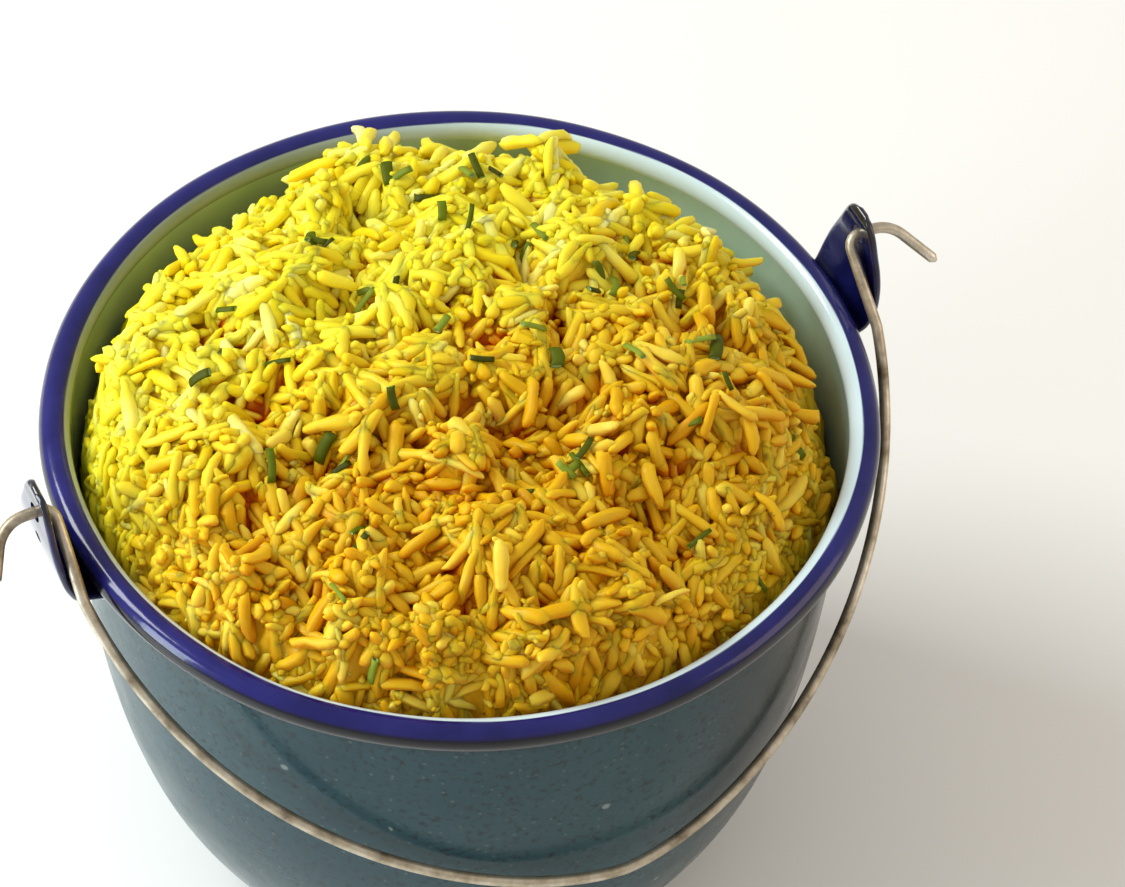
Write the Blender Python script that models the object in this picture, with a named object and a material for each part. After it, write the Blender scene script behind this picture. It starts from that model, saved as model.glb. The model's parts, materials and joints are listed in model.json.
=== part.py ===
"""Yellow basmati rice heaped in an enamelled steel pail with a swinging wire bail.

Metres, +Z up. The pail stands on the floor at the origin. Its two ears are on the X axis,
and the bail lies down at the front, on the -Y side.
"""

import math
import random

import bmesh
import bpy
import numpy as np
from mathutils import Matrix, Vector

GAP = 0.00035  # between pieces that touch

# The pail. Depths are measured down from the middle of the rolled rim.
BEAD_RADIUS = 0.003  # half the thickness of the rolled rim
BEAD_CIRCLE = 0.077  # from the pail's axis to the middle of the rolled rim
BEAD_SIDES = 12
WALL = 0.001
WALL_TOP_RADIUS = 0.0752  # outside of the wall, just under the rim
WALL_TAPER = 0.05  # how fast the straight part of the wall draws in
CURVE_DEPTH = 0.102
CURVE_IN = 0.0141  # how much more the wall has drawn in at that depth
CORNER_DEPTH = 0.106  # where the rounded bottom edge starts
CORNER_RADIUS = 0.012
AROUND = 54  # facets round the pail and round the rice
SHARP_ANGLE = math.radians(35)  # edges above this are shaded as edges

# The bail: a wire that turns about a line across the pail, above the rim.
PIVOT_ABOVE_BEAD = 0.0126
WIRE_RADIUS = 0.0011
LEG_X = 0.0825  # the two straight legs, just outside the rim
LEG_LENGTH = 0.010
# The arch beyond the legs is a flattened half ellipse, with one power for each direction.
BAIL_SPREAD = 0.0839
BAIL_REACH = 0.0998
SPREAD_POWER = 1.22
REACH_POWER = 0.92
ARCH_START = 9  # degrees round the half ellipse where the leg ends
ARCH_STEPS = 26
BAIL_REST_TILT = math.radians(40.7)  # how far it hangs below level
HOOK_BEND = 0.0025  # where the leg turns out through the ear
CURL_X = 0.0880  # where the end outside the ear starts to curve
CURL = 0.0070
# Degrees that each end turns through, and the straight length at its tip: bent by hand, uneven.
RIGHT_END = (54, 0.0086)
LEFT_END = (66, 0.0066)

# The ears: strips of sheet that come up round the rim and hold the bail.
EAR_X = 0.0853  # middle of the upright part
EAR_SHEET = 0.0014
BAIL_HOLE = 0.0020
SMALL_HOLE = 0.0012
SMALL_HOLE_DROP = 0.0070  # below the bail's hole
RIVET_RADIUS = 0.0018
RIVET_SPREAD = 0.0044
RIVET_DROP = 0.0088  # below the middle of the rim
EAR_SKEW = 0.0001  # what the ear's foot stands off beyond the gap, as its facets are finer

# The rice. Heights are measured up from the middle of the rolled rim.
HEAP_RADIUS = 0.0728
HEAP_TOP = 0.0195
HEAP_DOME = 0.012  # what the dome falls by, from its middle to the wall
HEAP_SHOULDER = 0.022  # what its steep outer edge falls by
SHOULDER_POWER = 16
CORE_UNDER = 0.0006  # how far the grains stand above the core
# Humps and hollows of the heap: angle from the right ear, distance out, height, width.
HEAP_LUMPS = (
    (-15, 0.058, -0.0025, 0.016),
    (22, 0.066, -0.0075, 0.013),
    (66, 0.056, 0.0020, 0.014),
    (114, 0.064, -0.0050, 0.015),
    (128, 0.040, 0.0025, 0.013),
    (88, 0.036, -0.0025, 0.010),
    (143, 0.018, -0.0030, 0.009),
    (165, 0.050, 0.0025, 0.013),
    (183, 0.036, -0.0035, 0.010),
    (225, 0.042, 0.0020, 0.012),
    (232, 0.013, 0.0030, 0.010),
    (305, 0.018, 0.0025, 0.009),
    (270, 0.022, -0.0025, 0.009),
    (250, 0.046, 0.0020, 0.011),
    (320, 0.046, 0.0020, 0.012),
)
TOP_RINGS = 11
RING_CROWDING = 1.6  # over 1, the rings stand closer together towards the wall
CORE_ROUGHNESS = 0.0006

# What is scattered over the heap. Lift is the height of its middle over the heap's top,
# and tilt the usual angle at which it is tipped.
GRAINS = 127
GRAIN_LENGTH = 0.0118
GRAIN_WIDTH = 0.0031
GRAIN_BODY = 0.24  # how far from its middle a grain keeps its width, as a share of its length
GRAIN_LIFT = 0.0006
GRAIN_TILT = 0.28
CHIVES = 22
CHIVE_LENGTH = 0.0056
CHIVE_WIDTH = 0.0021
CHIVE_LIFT = 0.0012
CHIVE_TILT = 0.15
CHIVE_START = 1.0  # turns the chives' spiral away from that of the grains
SPIRAL_REACH = 0.96 * HEAP_RADIUS
STRETCH = (0.82, 1.12)
GOLDEN_ANGLE = math.pi * (3 - math.sqrt(5))
SEED = 7


def material(name, colour, roughness, metallic=0.0):
    made = bpy.data.materials.new(name)
    made.use_nodes = True
    shader = made.node_tree.nodes["Principled BSDF"]
    shader.inputs["Base Color"].default_value = (*colour, 1.0)
    shader.inputs["Roughness"].default_value = roughness
    shader.inputs["Metallic"].default_value = metallic
    return made


def new_object(name, mesh, slot):
    obj = bpy.data.objects.new(name, mesh)
    bpy.context.scene.collection.objects.link(obj)
    mesh.materials.append(slot)
    mesh.shade_smooth()
    mesh.set_sharp_from_angle(angle=SHARP_ANGLE)
    return obj


def mesh_of(name, points, faces):
    """A mesh whose faces all point out."""
    mesh = bpy.data.meshes.new(name)
    mesh.from_pydata([tuple(point) for point in points], [], faces)
    made = bmesh.new()
    made.from_mesh(mesh)
    bmesh.ops.recalc_face_normals(made, faces=made.faces)
    made.to_mesh(mesh)
    made.free()
    return mesh


# The pail's side: its radius at a depth, and the whole profile at an offset inwards.


def wall_radius(depth):
    return WALL_TOP_RADIUS - WALL_TAPER * depth - CURVE_IN * (depth / CURVE_DEPTH) ** 4


def wall_slope(depth):
    """The angle that the wall makes with the upright."""
    step = 1e-5
    return math.atan((wall_radius(depth - step) - wall_radius(depth + step)) / (2 * step))


CORNER_SLOPE = wall_slope(CORNER_DEPTH)
CORNER_CENTRE = (
    wall_radius(CORNER_DEPTH) - CORNER_RADIUS * math.cos(CORNER_SLOPE),
    CORNER_DEPTH - CORNER_RADIUS * math.sin(CORNER_SLOPE),
)
BEAD_Z = CORNER_CENTRE[1] + CORNER_RADIUS  # so that the flat bottom is at 0
PIVOT_Z = BEAD_Z + PIVOT_ABOVE_BEAD


def side_profile(inwards, depths):
    """Points (radius, height) down the wall and round its bottom corner."""
    points = []
    for depth in depths:
        slope = wall_slope(depth)
        radius = wall_radius(depth) - inwards * math.cos(slope)
        points.append((radius, BEAD_Z - depth + inwards * math.sin(slope)))
    for step in range(1, 4):
        angle = CORNER_SLOPE + (math.pi / 2 - CORNER_SLOPE) * step / 3
        reach = CORNER_RADIUS - inwards
        radius = CORNER_CENTRE[0] + reach * math.cos(angle)
        points.append((radius, BEAD_Z - CORNER_CENTRE[1] - reach * math.sin(angle)))
    return points


WALL_DEPTHS = (0.020, 0.040, 0.058, 0.073, 0.086, 0.097, CORNER_DEPTH)


def make_turned(name, profile, closed, slot):
    """An object turned about the upright axis from a profile that runs down its outer side."""
    mesh = bpy.data.meshes.new(name)
    edges = [(i, i + 1) for i in range(len(profile) - 1)]
    if closed:
        edges.append((len(profile) - 1, 0))
    mesh.from_pydata([(radius, 0.0, height) for radius, height in profile], edges, [])
    turn = new_object(name, mesh, slot).modifiers.new("turn", "SCREW")
    turn.axis = "Z"
    turn.steps = AROUND
    turn.render_steps = AROUND
    turn.use_merge_vertices = True
    turn.merge_threshold = 1e-6


def make_rim(slot):
    """The rolled rim: a round bead that sits over the wall's top edge."""
    bead = []
    for side in range(BEAD_SIDES):
        angle = math.pi - 2 * math.pi * side / BEAD_SIDES
        radius = BEAD_CIRCLE + BEAD_RADIUS * math.cos(angle)
        bead.append((radius, BEAD_Z + BEAD_RADIUS * math.sin(angle)))
    make_turned("rim", bead, True, slot)


def make_pail(slot):
    outside = side_profile(0.0, WALL_DEPTHS)
    inside = side_profile(WALL, WALL_DEPTHS)
    edge = []
    for radius in (WALL_TOP_RADIUS - WALL, WALL_TOP_RADIUS):
        # The wall's top edge keeps the gap to the round of the rim.
        drop = math.sqrt((BEAD_RADIUS + GAP) ** 2 - (BEAD_CIRCLE - radius) ** 2)
        edge.append((radius, BEAD_Z - drop))
    profile = [(0.0, WALL), *reversed(inside), *edge, *outside, (0.0, 0.0)]
    make_turned("pail", profile, False, slot)


# The ears.


def ear_path():
    """Stations along the strip: distance out, height over the bead, half width, bend.

    Bend says how far the station follows the pail's round wall, from 1 to 0.
    """
    wall = WALL_TOP_RADIUS + GAP + EAR_SHEET / 2 + EAR_SKEW
    return (
        (wall - 0.0002, -0.0112, 0.0050, 1.0),
        (wall, -0.0098, 0.0072, 1.0),
        (wall + 0.0004, -0.0078, 0.0084, 1.0),
        (wall + 0.0016, -0.0062, 0.0092, 0.8),
        (wall + 0.0036, -0.0048, 0.0098, 0.5),
        (EAR_X - 0.0030, -0.0034, 0.0102, 0.3),
        (EAR_X - 0.0019, -0.0014, 0.0104, 0.2),
        (EAR_X - 0.0010, 0.0012, 0.0104, 0.2),
        (EAR_X - 0.0003, 0.0050, 0.0096, 0.2),
        (EAR_X, 0.0085, 0.0083, 0.2),
        (EAR_X, 0.0118, 0.0068, 0.2),
        (EAR_X, 0.0146, 0.0056, 0.2),
        (EAR_X - 0.0001, 0.0166, 0.0046, 0.1),
        (EAR_X, 0.0179, 0.0035, 0.0),
        (EAR_X + 0.0005, 0.0186, 0.0022, 0.0),
    )


def ear_mesh():
    """The strip for the right ear, with its thickness, before its holes are cut."""
    path = ear_path()
    across = np.linspace(-1.0, 1.0, 7)
    sides = []
    for side in (-0.5, 0.5):
        rows = []
        for i, (out, height, half, bend) in enumerate(path):
            before = path[max(i - 1, 0)]
            after = path[min(i + 1, len(path) - 1)]
            run = Vector((after[0] - before[0], after[1] - before[1])).normalized()
            out_here = out + side * EAR_SHEET * run[1]
            height_here = BEAD_Z + height - side * EAR_SHEET * run[0]
            y = half * across
            round_wall = WALL_TOP_RADIUS - np.sqrt(WALL_TOP_RADIUS**2 - y**2)
            x = out_here - bend * round_wall
            rows.append(np.stack([x, y, np.full_like(y, height_here)], axis=1))
        sides.append(np.array(rows))
    rows, columns = len(path), len(across)
    points = np.concatenate([side.reshape(-1, 3) for side in sides])
    inner = np.arange(rows * columns).reshape(rows, columns)
    outer = inner + rows * columns
    faces = []
    for i in range(rows - 1):
        for j in range(columns - 1):
            faces.append((outer[i, j], outer[i, j + 1], outer[i + 1, j + 1], outer[i + 1, j]))
            faces.append((inner[i, j], inner[i + 1, j], inner[i + 1, j + 1], inner[i, j + 1]))
    edge = [(i, 0) for i in range(rows)] + [(rows - 1, j) for j in range(1, columns)]
    edge += [(i, columns - 1) for i in range(rows - 2, -1, -1)]
    edge += [(0, j) for j in range(columns - 2, 0, -1)]
    for a, b in zip(edge, edge[1:] + edge[:1]):
        faces.append((inner[a], inner[b], outer[b], outer[a]))
    return mesh_of("ear", points, [tuple(int(i) for i in face) for face in faces])


def rivet_mesh():
    """Two round rivet heads on the foot of the right ear."""
    made = bmesh.new()
    for y in (-RIVET_SPREAD, RIVET_SPREAD):
        x = math.sqrt(WALL_TOP_RADIUS**2 - y**2) + GAP + EAR_SHEET
        place = Matrix.Translation((x, y, BEAD_Z - RIVET_DROP))
        shape = place @ Matrix.Diagonal((0.5, 1.0, 1.0, 1.0)) @ Matrix.Rotation(math.pi / 2, 4, "Y")
        bmesh.ops.create_uvsphere(
            made, u_segments=8, v_segments=6, radius=RIVET_RADIUS, matrix=shape
        )
    mesh = bpy.data.meshes.new("rivets")
    made.to_mesh(mesh)
    made.free()
    return mesh


def hole_cutter(radius, height):
    made = bmesh.new()
    place = Matrix.Translation((EAR_X, 0.0, height)) @ Matrix.Rotation(math.pi / 2, 4, "Y")
    bmesh.ops.create_cone(
        made,
        cap_ends=True,
        segments=14,
        radius1=radius,
        radius2=radius,
        depth=5 * EAR_SHEET,
        matrix=place,
    )
    mesh = bpy.data.meshes.new("hole")
    made.to_mesh(mesh)
    made.free()
    return mesh


def boolean(obj, mesh, operation):
    """Adds or cuts the mesh, and bakes the result into the object's own mesh."""
    tool = bpy.data.objects.new("tool", mesh)
    bpy.context.scene.collection.objects.link(tool)
    step = obj.modifiers.new(operation, "BOOLEAN")
    step.operation = operation
    step.object = tool
    bake(obj)
    bpy.data.objects.remove(tool)


def bake(obj):
    """Replaces the object's mesh by what its modifiers make of it."""
    graph = bpy.context.evaluated_depsgraph_get()
    made = bpy.data.meshes.new_from_object(obj.evaluated_get(graph))
    obj.modifiers.clear()
    obj.data = made


def make_ears(slot):
    ear = new_object("ear_right", ear_mesh(), slot)
    boolean(ear, rivet_mesh(), "UNION")
    boolean(ear, hole_cutter(BAIL_HOLE, PIVOT_Z), "DIFFERENCE")
    boolean(ear, hole_cutter(SMALL_HOLE, PIVOT_Z - SMALL_HOLE_DROP), "DIFFERENCE")
    other = ear.data.copy()
    made = bmesh.new()
    made.from_mesh(other)
    bmesh.ops.rotate(made, verts=made.verts, matrix=Matrix.Rotation(math.pi, 3, "Z"))
    made.to_mesh(other)
    made.free()
    new_object("ear_left", other, slot)


# The bail.


def half_bail(turn_degrees, tail):
    """One half of the wire, from its hooked end to the middle: (out, reach) points."""
    points = []
    # The hooked end curves out of the ear and on towards the grip.
    last_turn = math.radians(turn_degrees)
    end = (CURL_X + CURL * math.sin(last_turn), CURL - CURL * math.cos(last_turn))
    tip = (end[0] + tail * math.cos(last_turn), end[1] + tail * math.sin(last_turn))
    points.append(tip)
    for step in range(6):
        angle = last_turn * (1 - step / 5)
        points.append((CURL_X + CURL * math.sin(angle), CURL - CURL * math.cos(angle)))
    bend_centre = (LEG_X + HOOK_BEND, HOOK_BEND)
    for step in range(4):
        angle = math.radians(-90 - 30 * step)
        points.append(
            (
                bend_centre[0] + HOOK_BEND * math.cos(angle),
                bend_centre[1] + HOOK_BEND * math.sin(angle),
            )
        )
    points.append((LEG_X, LEG_LENGTH))
    for step in range(ARCH_STEPS + 1):
        turn = math.radians(ARCH_START + (90 - ARCH_START) * step / ARCH_STEPS)
        out = BAIL_SPREAD * max(math.cos(turn), 0.0) ** SPREAD_POWER
        points.append((out, BAIL_REACH * math.sin(turn) ** REACH_POWER))
    return points


def make_bail(slot):
    right = half_bail(*RIGHT_END)
    left = [(-out, reach) for out, reach in half_bail(*LEFT_END)]
    path = right + left[-2::-1]
    curve = bpy.data.curves.new("bail", "CURVE")
    curve.dimensions = "3D"
    curve.bevel_depth = WIRE_RADIUS
    curve.bevel_resolution = 2
    curve.use_fill_caps = True
    line = curve.splines.new("POLY")
    line.points.add(len(path) - 1)
    for point, (out, reach) in zip(line.points, path):
        point.co = (out, -reach, 0.0, 1.0)
    bail = bpy.data.objects.new("bail", curve)
    bpy.context.scene.collection.objects.link(bail)
    curve.materials.append(slot)
    bail.location = (0.0, 0.0, PIVOT_Z)
    bail.rotation_euler = (BAIL_REST_TILT, 0.0, 0.0)


# The rice.


def heap_height(x, y):
    """The heap's top over the middle of the rolled rim: a dome with a steep edge and lumps."""
    out = np.minimum(np.hypot(x, y) / HEAP_RADIUS, 1.0)
    height = HEAP_TOP - HEAP_DOME * out**2 - HEAP_SHOULDER * out**SHOULDER_POWER
    for angle, distance, lump, width in HEAP_LUMPS:
        at_x = distance * math.cos(math.radians(angle))
        at_y = distance * math.sin(math.radians(angle))
        height = height + lump * np.exp(-((x - at_x) ** 2 + (y - at_y) ** 2) / width**2)
    return height


def heap_normal(x, y):
    step = 0.002
    slope_x = (heap_height(x + step, y) - heap_height(x - step, y)) / (2 * step)
    slope_y = (heap_height(x, y + step) - heap_height(x, y - step)) / (2 * step)
    return Vector((-slope_x, -slope_y, 1.0)).normalized()


def core_mesh(draw):
    """The rice below its top grains: a lumpy top, and sides that follow the pail's inside."""
    turns = np.arange(AROUND) * 2 * math.pi / AROUND
    rings = []
    for ring in range(1, TOP_RINGS + 1):
        radius = HEAP_RADIUS * (1 - (1 - ring / TOP_RINGS) ** RING_CROWDING)
        x = radius * np.cos(turns)
        y = radius * np.sin(turns)
        rough = np.array([draw.uniform(-1, 1) for _ in turns]) * CORE_ROUGHNESS
        if ring == TOP_RINGS:
            rough = rough * 0
        height = heap_height(x, y) - CORE_UNDER + rough
        room = (wall_radius(np.maximum(-height, 0.0)) - WALL - GAP) / radius
        inwards = np.minimum(room, 1.0)
        rings.append(np.stack([x * inwards, y * inwards, BEAD_Z + height], axis=1))
    for radius, height in side_profile(WALL + GAP, WALL_DEPTHS[1:]):
        level = np.full_like(turns, height)
        rings.append(np.stack([radius * np.cos(turns), radius * np.sin(turns), level], axis=1))
    points = [(0.0, 0.0, float(BEAD_Z + heap_height(0.0, 0.0) - CORE_UNDER))]
    points += [tuple(point) for ring in rings for point in ring]
    points.append((0.0, 0.0, WALL + GAP))
    last = len(points) - 1
    faces = []
    for i in range(AROUND):
        j = (i + 1) % AROUND
        faces.append((0, 1 + i, 1 + j))
        for ring in range(len(rings) - 1):
            a = 1 + ring * AROUND
            b = a + AROUND
            faces.append((a + i, b + i, b + j, a + j))
        a = 1 + (len(rings) - 1) * AROUND
        faces.append((a + i, last, a + j))
    return mesh_of("rice core", points, faces)


def spindle(length, width, shares, sides, pointed):
    """A closed rod along X, with a ring at each share of its length, and pointed or flat ends."""
    made = bmesh.new()
    rings = []
    for share in shares:
        ring = []
        for side in range(sides):
            angle = 2 * math.pi * side / sides
            y = 0.5 * width * math.cos(angle)
            z = 0.5 * width * math.sin(angle)
            ring.append(made.verts.new((share * length, y, z)))
        rings.append(ring)
    for a, b in zip(rings, rings[1:]):
        for i in range(sides):
            j = (i + 1) % sides
            made.faces.new((a[i], b[i], b[j], a[j]))
    for ring, end in ((rings[0], -0.5), (rings[-1], 0.5)):
        if pointed:
            tip = made.verts.new((end * length, 0.0, 0.0))
            for i in range(sides):
                made.faces.new((ring[i], ring[(i + 1) % sides], tip))
        else:
            made.faces.new(ring)
    bmesh.ops.recalc_face_normals(made, faces=made.faces)
    mesh = bpy.data.meshes.new("spindle")
    made.to_mesh(mesh)
    made.free()
    return mesh


def clear_of_pail(points):
    """Whether all the points keep well inside the pail's wall and rim."""
    for point in points:
        depth = min(max(BEAD_Z - point.z, 0.0), CORNER_DEPTH)
        room = min(wall_radius(depth) - WALL, BEAD_CIRCLE - BEAD_RADIUS)
        if math.hypot(point.x, point.y) > room - 2 * GAP:
            return False
    return True


def scatter(count, mesh, lift, tilt, start, draw, group):
    """Copies of a mesh on a sunflower spiral over the heap, each turned and tipped at random."""
    for i in range(count):
        distance = SPIRAL_REACH * math.sqrt((i + 0.5) / count)
        angle = start + GOLDEN_ANGLE * i
        x = distance * math.cos(angle)
        y = distance * math.sin(angle)
        normal = heap_normal(x, y)
        turn = Matrix.Rotation(draw.uniform(0, 2 * math.pi), 4, "Z")
        tip = Matrix.Rotation(draw.gauss(0, tilt), 4, "Y")
        stretch = draw.uniform(*STRETCH)
        size = Matrix.Diagonal((stretch, 1.0, 1.0, 1.0))
        upright = normal.to_track_quat("Z", "Y").to_matrix().to_4x4()
        place = Matrix.Translation((x, y, BEAD_Z + float(heap_height(x, y)) + lift))
        whole = place @ upright @ turn @ tip @ size
        if not clear_of_pail([whole @ vertex.co for vertex in mesh.vertices]):
            continue
        copy = mesh.copy()
        copy.transform(whole)
        obj = bpy.data.objects.new("scattered", copy)
        group.objects.link(obj)


def largest_piece(mesh):
    """Drops all but the largest connected piece, so that no scrap or sealed hollow is left."""
    made = bmesh.new()
    made.from_mesh(mesh)
    made.verts.ensure_lookup_table()
    seen = set()
    pieces = []
    for vertex in made.verts:
        if vertex in seen:
            continue
        piece = {vertex}
        todo = [vertex]
        while todo:
            for edge in todo.pop().link_edges:
                for other in edge.verts:
                    if other not in piece:
                        piece.add(other)
                        todo.append(other)
        seen |= piece
        pieces.append(piece)
    pieces.sort(key=len)
    for piece in pieces[:-1]:
        bmesh.ops.delete(made, geom=list(piece), context="VERTS")
    made.to_mesh(mesh)
    made.free()


def make_rice(slot):
    draw = random.Random(SEED)
    rice = new_object("rice", core_mesh(draw), slot)
    body = (-GRAIN_BODY, GRAIN_BODY)
    grain = spindle(GRAIN_LENGTH, GRAIN_WIDTH, body, 5, pointed=True)
    chive = spindle(CHIVE_LENGTH, CHIVE_WIDTH, (-0.5, 0.5), 6, pointed=False)
    group = bpy.data.collections.new("on the rice")
    bpy.context.scene.collection.children.link(group)
    scatter(GRAINS, grain, GRAIN_LIFT, GRAIN_TILT, 0.0, draw, group)
    scatter(CHIVES, chive, CHIVE_LIFT, CHIVE_TILT, CHIVE_START, draw, group)
    join = rice.modifiers.new("join", "BOOLEAN")
    join.operation = "UNION"
    join.operand_type = "COLLECTION"
    join.collection = group
    join.solver = "MANIFOLD"
    bake(rice)
    for obj in list(group.objects):
        bpy.data.objects.remove(obj)
    bpy.data.collections.remove(group)
    largest_piece(rice.data)


def main():
    for obj in list(bpy.data.objects):
        bpy.data.objects.remove(obj)
    enamel = material("speckled blue-grey enamel", (0.075, 0.105, 0.110), 0.18)
    cobalt = material("cobalt enamel", (0.012, 0.016, 0.170), 0.15)
    steel = material("bare steel wire", (0.42, 0.39, 0.34), 0.38, 1.0)
    yellow = material("yellow rice", (0.80, 0.50, 0.03), 0.45)
    make_pail(enamel)
    make_rim(cobalt)
    make_ears(cobalt)
    make_bail(steel)
    make_rice(yellow)


main()
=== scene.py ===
import json
import math

import bpy
import numpy as np
from mathutils import Matrix, Vector


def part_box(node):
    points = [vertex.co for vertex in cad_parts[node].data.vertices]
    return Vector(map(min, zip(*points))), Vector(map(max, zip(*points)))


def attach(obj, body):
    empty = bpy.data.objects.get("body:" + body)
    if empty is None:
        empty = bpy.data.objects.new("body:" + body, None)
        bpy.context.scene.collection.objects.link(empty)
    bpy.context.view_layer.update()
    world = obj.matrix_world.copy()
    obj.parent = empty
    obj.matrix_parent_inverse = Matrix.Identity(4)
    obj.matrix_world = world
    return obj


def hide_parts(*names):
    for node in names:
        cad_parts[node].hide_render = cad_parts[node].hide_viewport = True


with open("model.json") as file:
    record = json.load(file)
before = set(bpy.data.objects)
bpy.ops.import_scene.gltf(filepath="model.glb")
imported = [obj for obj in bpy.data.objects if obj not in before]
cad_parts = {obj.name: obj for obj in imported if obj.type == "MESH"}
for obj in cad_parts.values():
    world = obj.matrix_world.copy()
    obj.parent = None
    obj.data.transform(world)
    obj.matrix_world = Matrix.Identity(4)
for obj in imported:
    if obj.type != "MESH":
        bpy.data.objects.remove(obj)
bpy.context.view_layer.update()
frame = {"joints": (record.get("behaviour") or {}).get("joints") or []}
print("frame loaded")

# What comes from the frame: the rim's height, its outer radius, and the line the bail turns on.
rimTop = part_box("rim")[1].z
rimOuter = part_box("rim")[1].x
pivotZ = frame["joints"][0]["pos_m"][2]
fullTurn = 2 * math.pi

# Camera and light

cameraSetup = {
    "lens": 144,
    "place": (-0.2464, -0.5095, 0.7553),
    "turn": (40.9217, -1.7040, -25.8276),
}
lightSetup = {
    "world": ((1.0, 0.96, 0.90), 0.62),
    # name: place, aims at, width, height, watts, colour
    "key": ((-0.62, 0.56, 0.86), (0.0, 0.0, 0.11), 0.50, 0.50, 10.5, (0.96, 1.0, 0.98)),
    "warm": ((0.80, -0.50, 0.50), (0.02, 0.0, 0.10), 0.60, 0.60, 2.0, (1.0, 0.80, 0.58)),
    "low": ((-0.46, 0.02, 0.20), (-0.15, 0.03, 0.0), 0.10, 0.30, 1.1, (0.80, 0.93, 1.0)),
}


def addObject(name, data):
    obj = bpy.data.objects.new(name, data)
    bpy.context.scene.collection.objects.link(obj)
    return obj


def addCamera(name, setup):
    camera = addObject(name, bpy.data.cameras.new(name))
    camera.data.lens = setup["lens"]
    camera.data.sensor_width = 36
    camera.data.clip_start = 0.01
    camera.location = setup["place"]
    camera.rotation_euler = [math.radians(angle) for angle in setup["turn"]]
    bpy.context.scene.camera = camera


def addArea(name, place, aim, width, height, watts, colour):
    light = bpy.data.lights.new(name, "AREA")
    light.shape = "RECTANGLE"
    light.size = width
    light.size_y = height
    light.energy = watts
    light.color = colour
    obj = addObject(name, light)
    obj.location = place
    away = [a - b for a, b in zip(place, aim)]
    obj.rotation_euler = Vector(away).to_track_quat("Z", "Y").to_euler()


def addLight(setup):
    world = bpy.data.worlds.new("studio")
    bpy.context.scene.world = world
    world.use_nodes = True
    colour, strength = setup["world"]
    world.node_tree.nodes["Background"].inputs["Color"].default_value = (*colour, 1.0)
    world.node_tree.nodes["Background"].inputs["Strength"].default_value = strength
    for name in ("key", "warm", "low"):
        addArea(name, *setup[name])


addCamera("camera", cameraSetup)
addLight(lightSetup)
bpy.context.scene.view_settings.view_transform = "Standard"
print("camera and light")

# Mesh helpers


def meshFrom(name, points, faceSets, slots=None):
    # Puts arrays of points and of faces (each set with one number of corners) into a mesh.
    mesh = bpy.data.meshes.new(name)
    points = np.asarray(points, np.float32).reshape(-1, 3)
    corners = np.concatenate([np.asarray(faces).reshape(-1) for faces in faceSets])
    counts = np.concatenate([np.full(len(faces), faces.shape[1]) for faces in faceSets])
    starts = np.concatenate([[0], np.cumsum(counts)[:-1]])
    mesh.vertices.add(len(points))
    mesh.vertices.foreach_set("co", points.reshape(-1))
    mesh.loops.add(len(corners))
    mesh.loops.foreach_set("vertex_index", corners.astype(np.int32))
    mesh.polygons.add(len(counts))
    mesh.polygons.foreach_set("loop_start", starts.astype(np.int32))
    if slots is not None:
        mesh.polygons.foreach_set("material_index", np.asarray(slots, np.int32))
    mesh.update(calc_edges=True)
    mesh.validate()
    mesh.shade_smooth()
    return mesh


def gridFaces(rows, columns, around, first=0):
    # Quads of a grid of points, whose columns meet again where around is true.
    index = first + np.arange(rows * columns).reshape(rows, columns)
    if around:
        index = np.concatenate([index, index[:, :1]], axis=1)
    low, high = index[:-1], index[1:]
    quads = np.stack([low[:, :-1], low[:, 1:], high[:, 1:], high[:, :-1]], axis=-1)
    return quads.reshape(-1, 4)


def fanFaces(ring, pole):
    # Triangles from a closed ring of point numbers to one pole.
    return np.stack([ring, np.full(len(ring), pole), np.roll(ring, -1)], axis=-1)


def tubeFaces(rows, around):
    # Quads along a closed tube, and a fan at each end to the two poles, numbered after the rings.
    index = np.arange(rows * around).reshape(rows, around)
    start = fanFaces(index[0], rows * around)
    end = fanFaces(index[-1], rows * around + 1)[:, ::-1]
    return [gridFaces(rows, around, True), start, end]


def copiedFaces(faceSets, pointCount, copies):
    # The same faces for each of many copies of a shape, whose points follow one another.
    shift = pointCount * np.arange(copies)[:, None, None]
    return [(faces + shift).reshape(-1, faces.shape[1]) for faces in faceSets]


def addPiece(name, mesh, materials, body, replaced=()):
    obj = addObject(name, mesh)
    for material in materials:
        mesh.materials.append(material)
    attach(obj, body)
    if replaced:
        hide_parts(*replaced)
    return obj


def setAttribute(mesh, name, values):
    layer = mesh.attributes.new(name, "FLOAT", "POINT")
    layer.data.foreach_set("value", np.asarray(values, np.float32).reshape(-1))


def wayAlong(path):
    # How far along a line each of its points lies.
    steps = np.linalg.norm(np.diff(path, axis=0), axis=1)
    return np.concatenate([[0], np.cumsum(steps)])


def smoothStep(low, high, value):
    share = np.clip((value - low) / (high - low), 0, 1)
    return share * share * (3 - 2 * share)


# Material helpers


def linear(red, green, blue):
    # A colour as its three 0 to 255 display values, turned into linear light.
    parts = np.array([red, green, blue]) / 255
    parts = np.where(parts <= 0.04045, parts / 12.92, ((parts + 0.055) / 1.055) ** 2.4)
    return (*parts.tolist(), 1.0)


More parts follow.
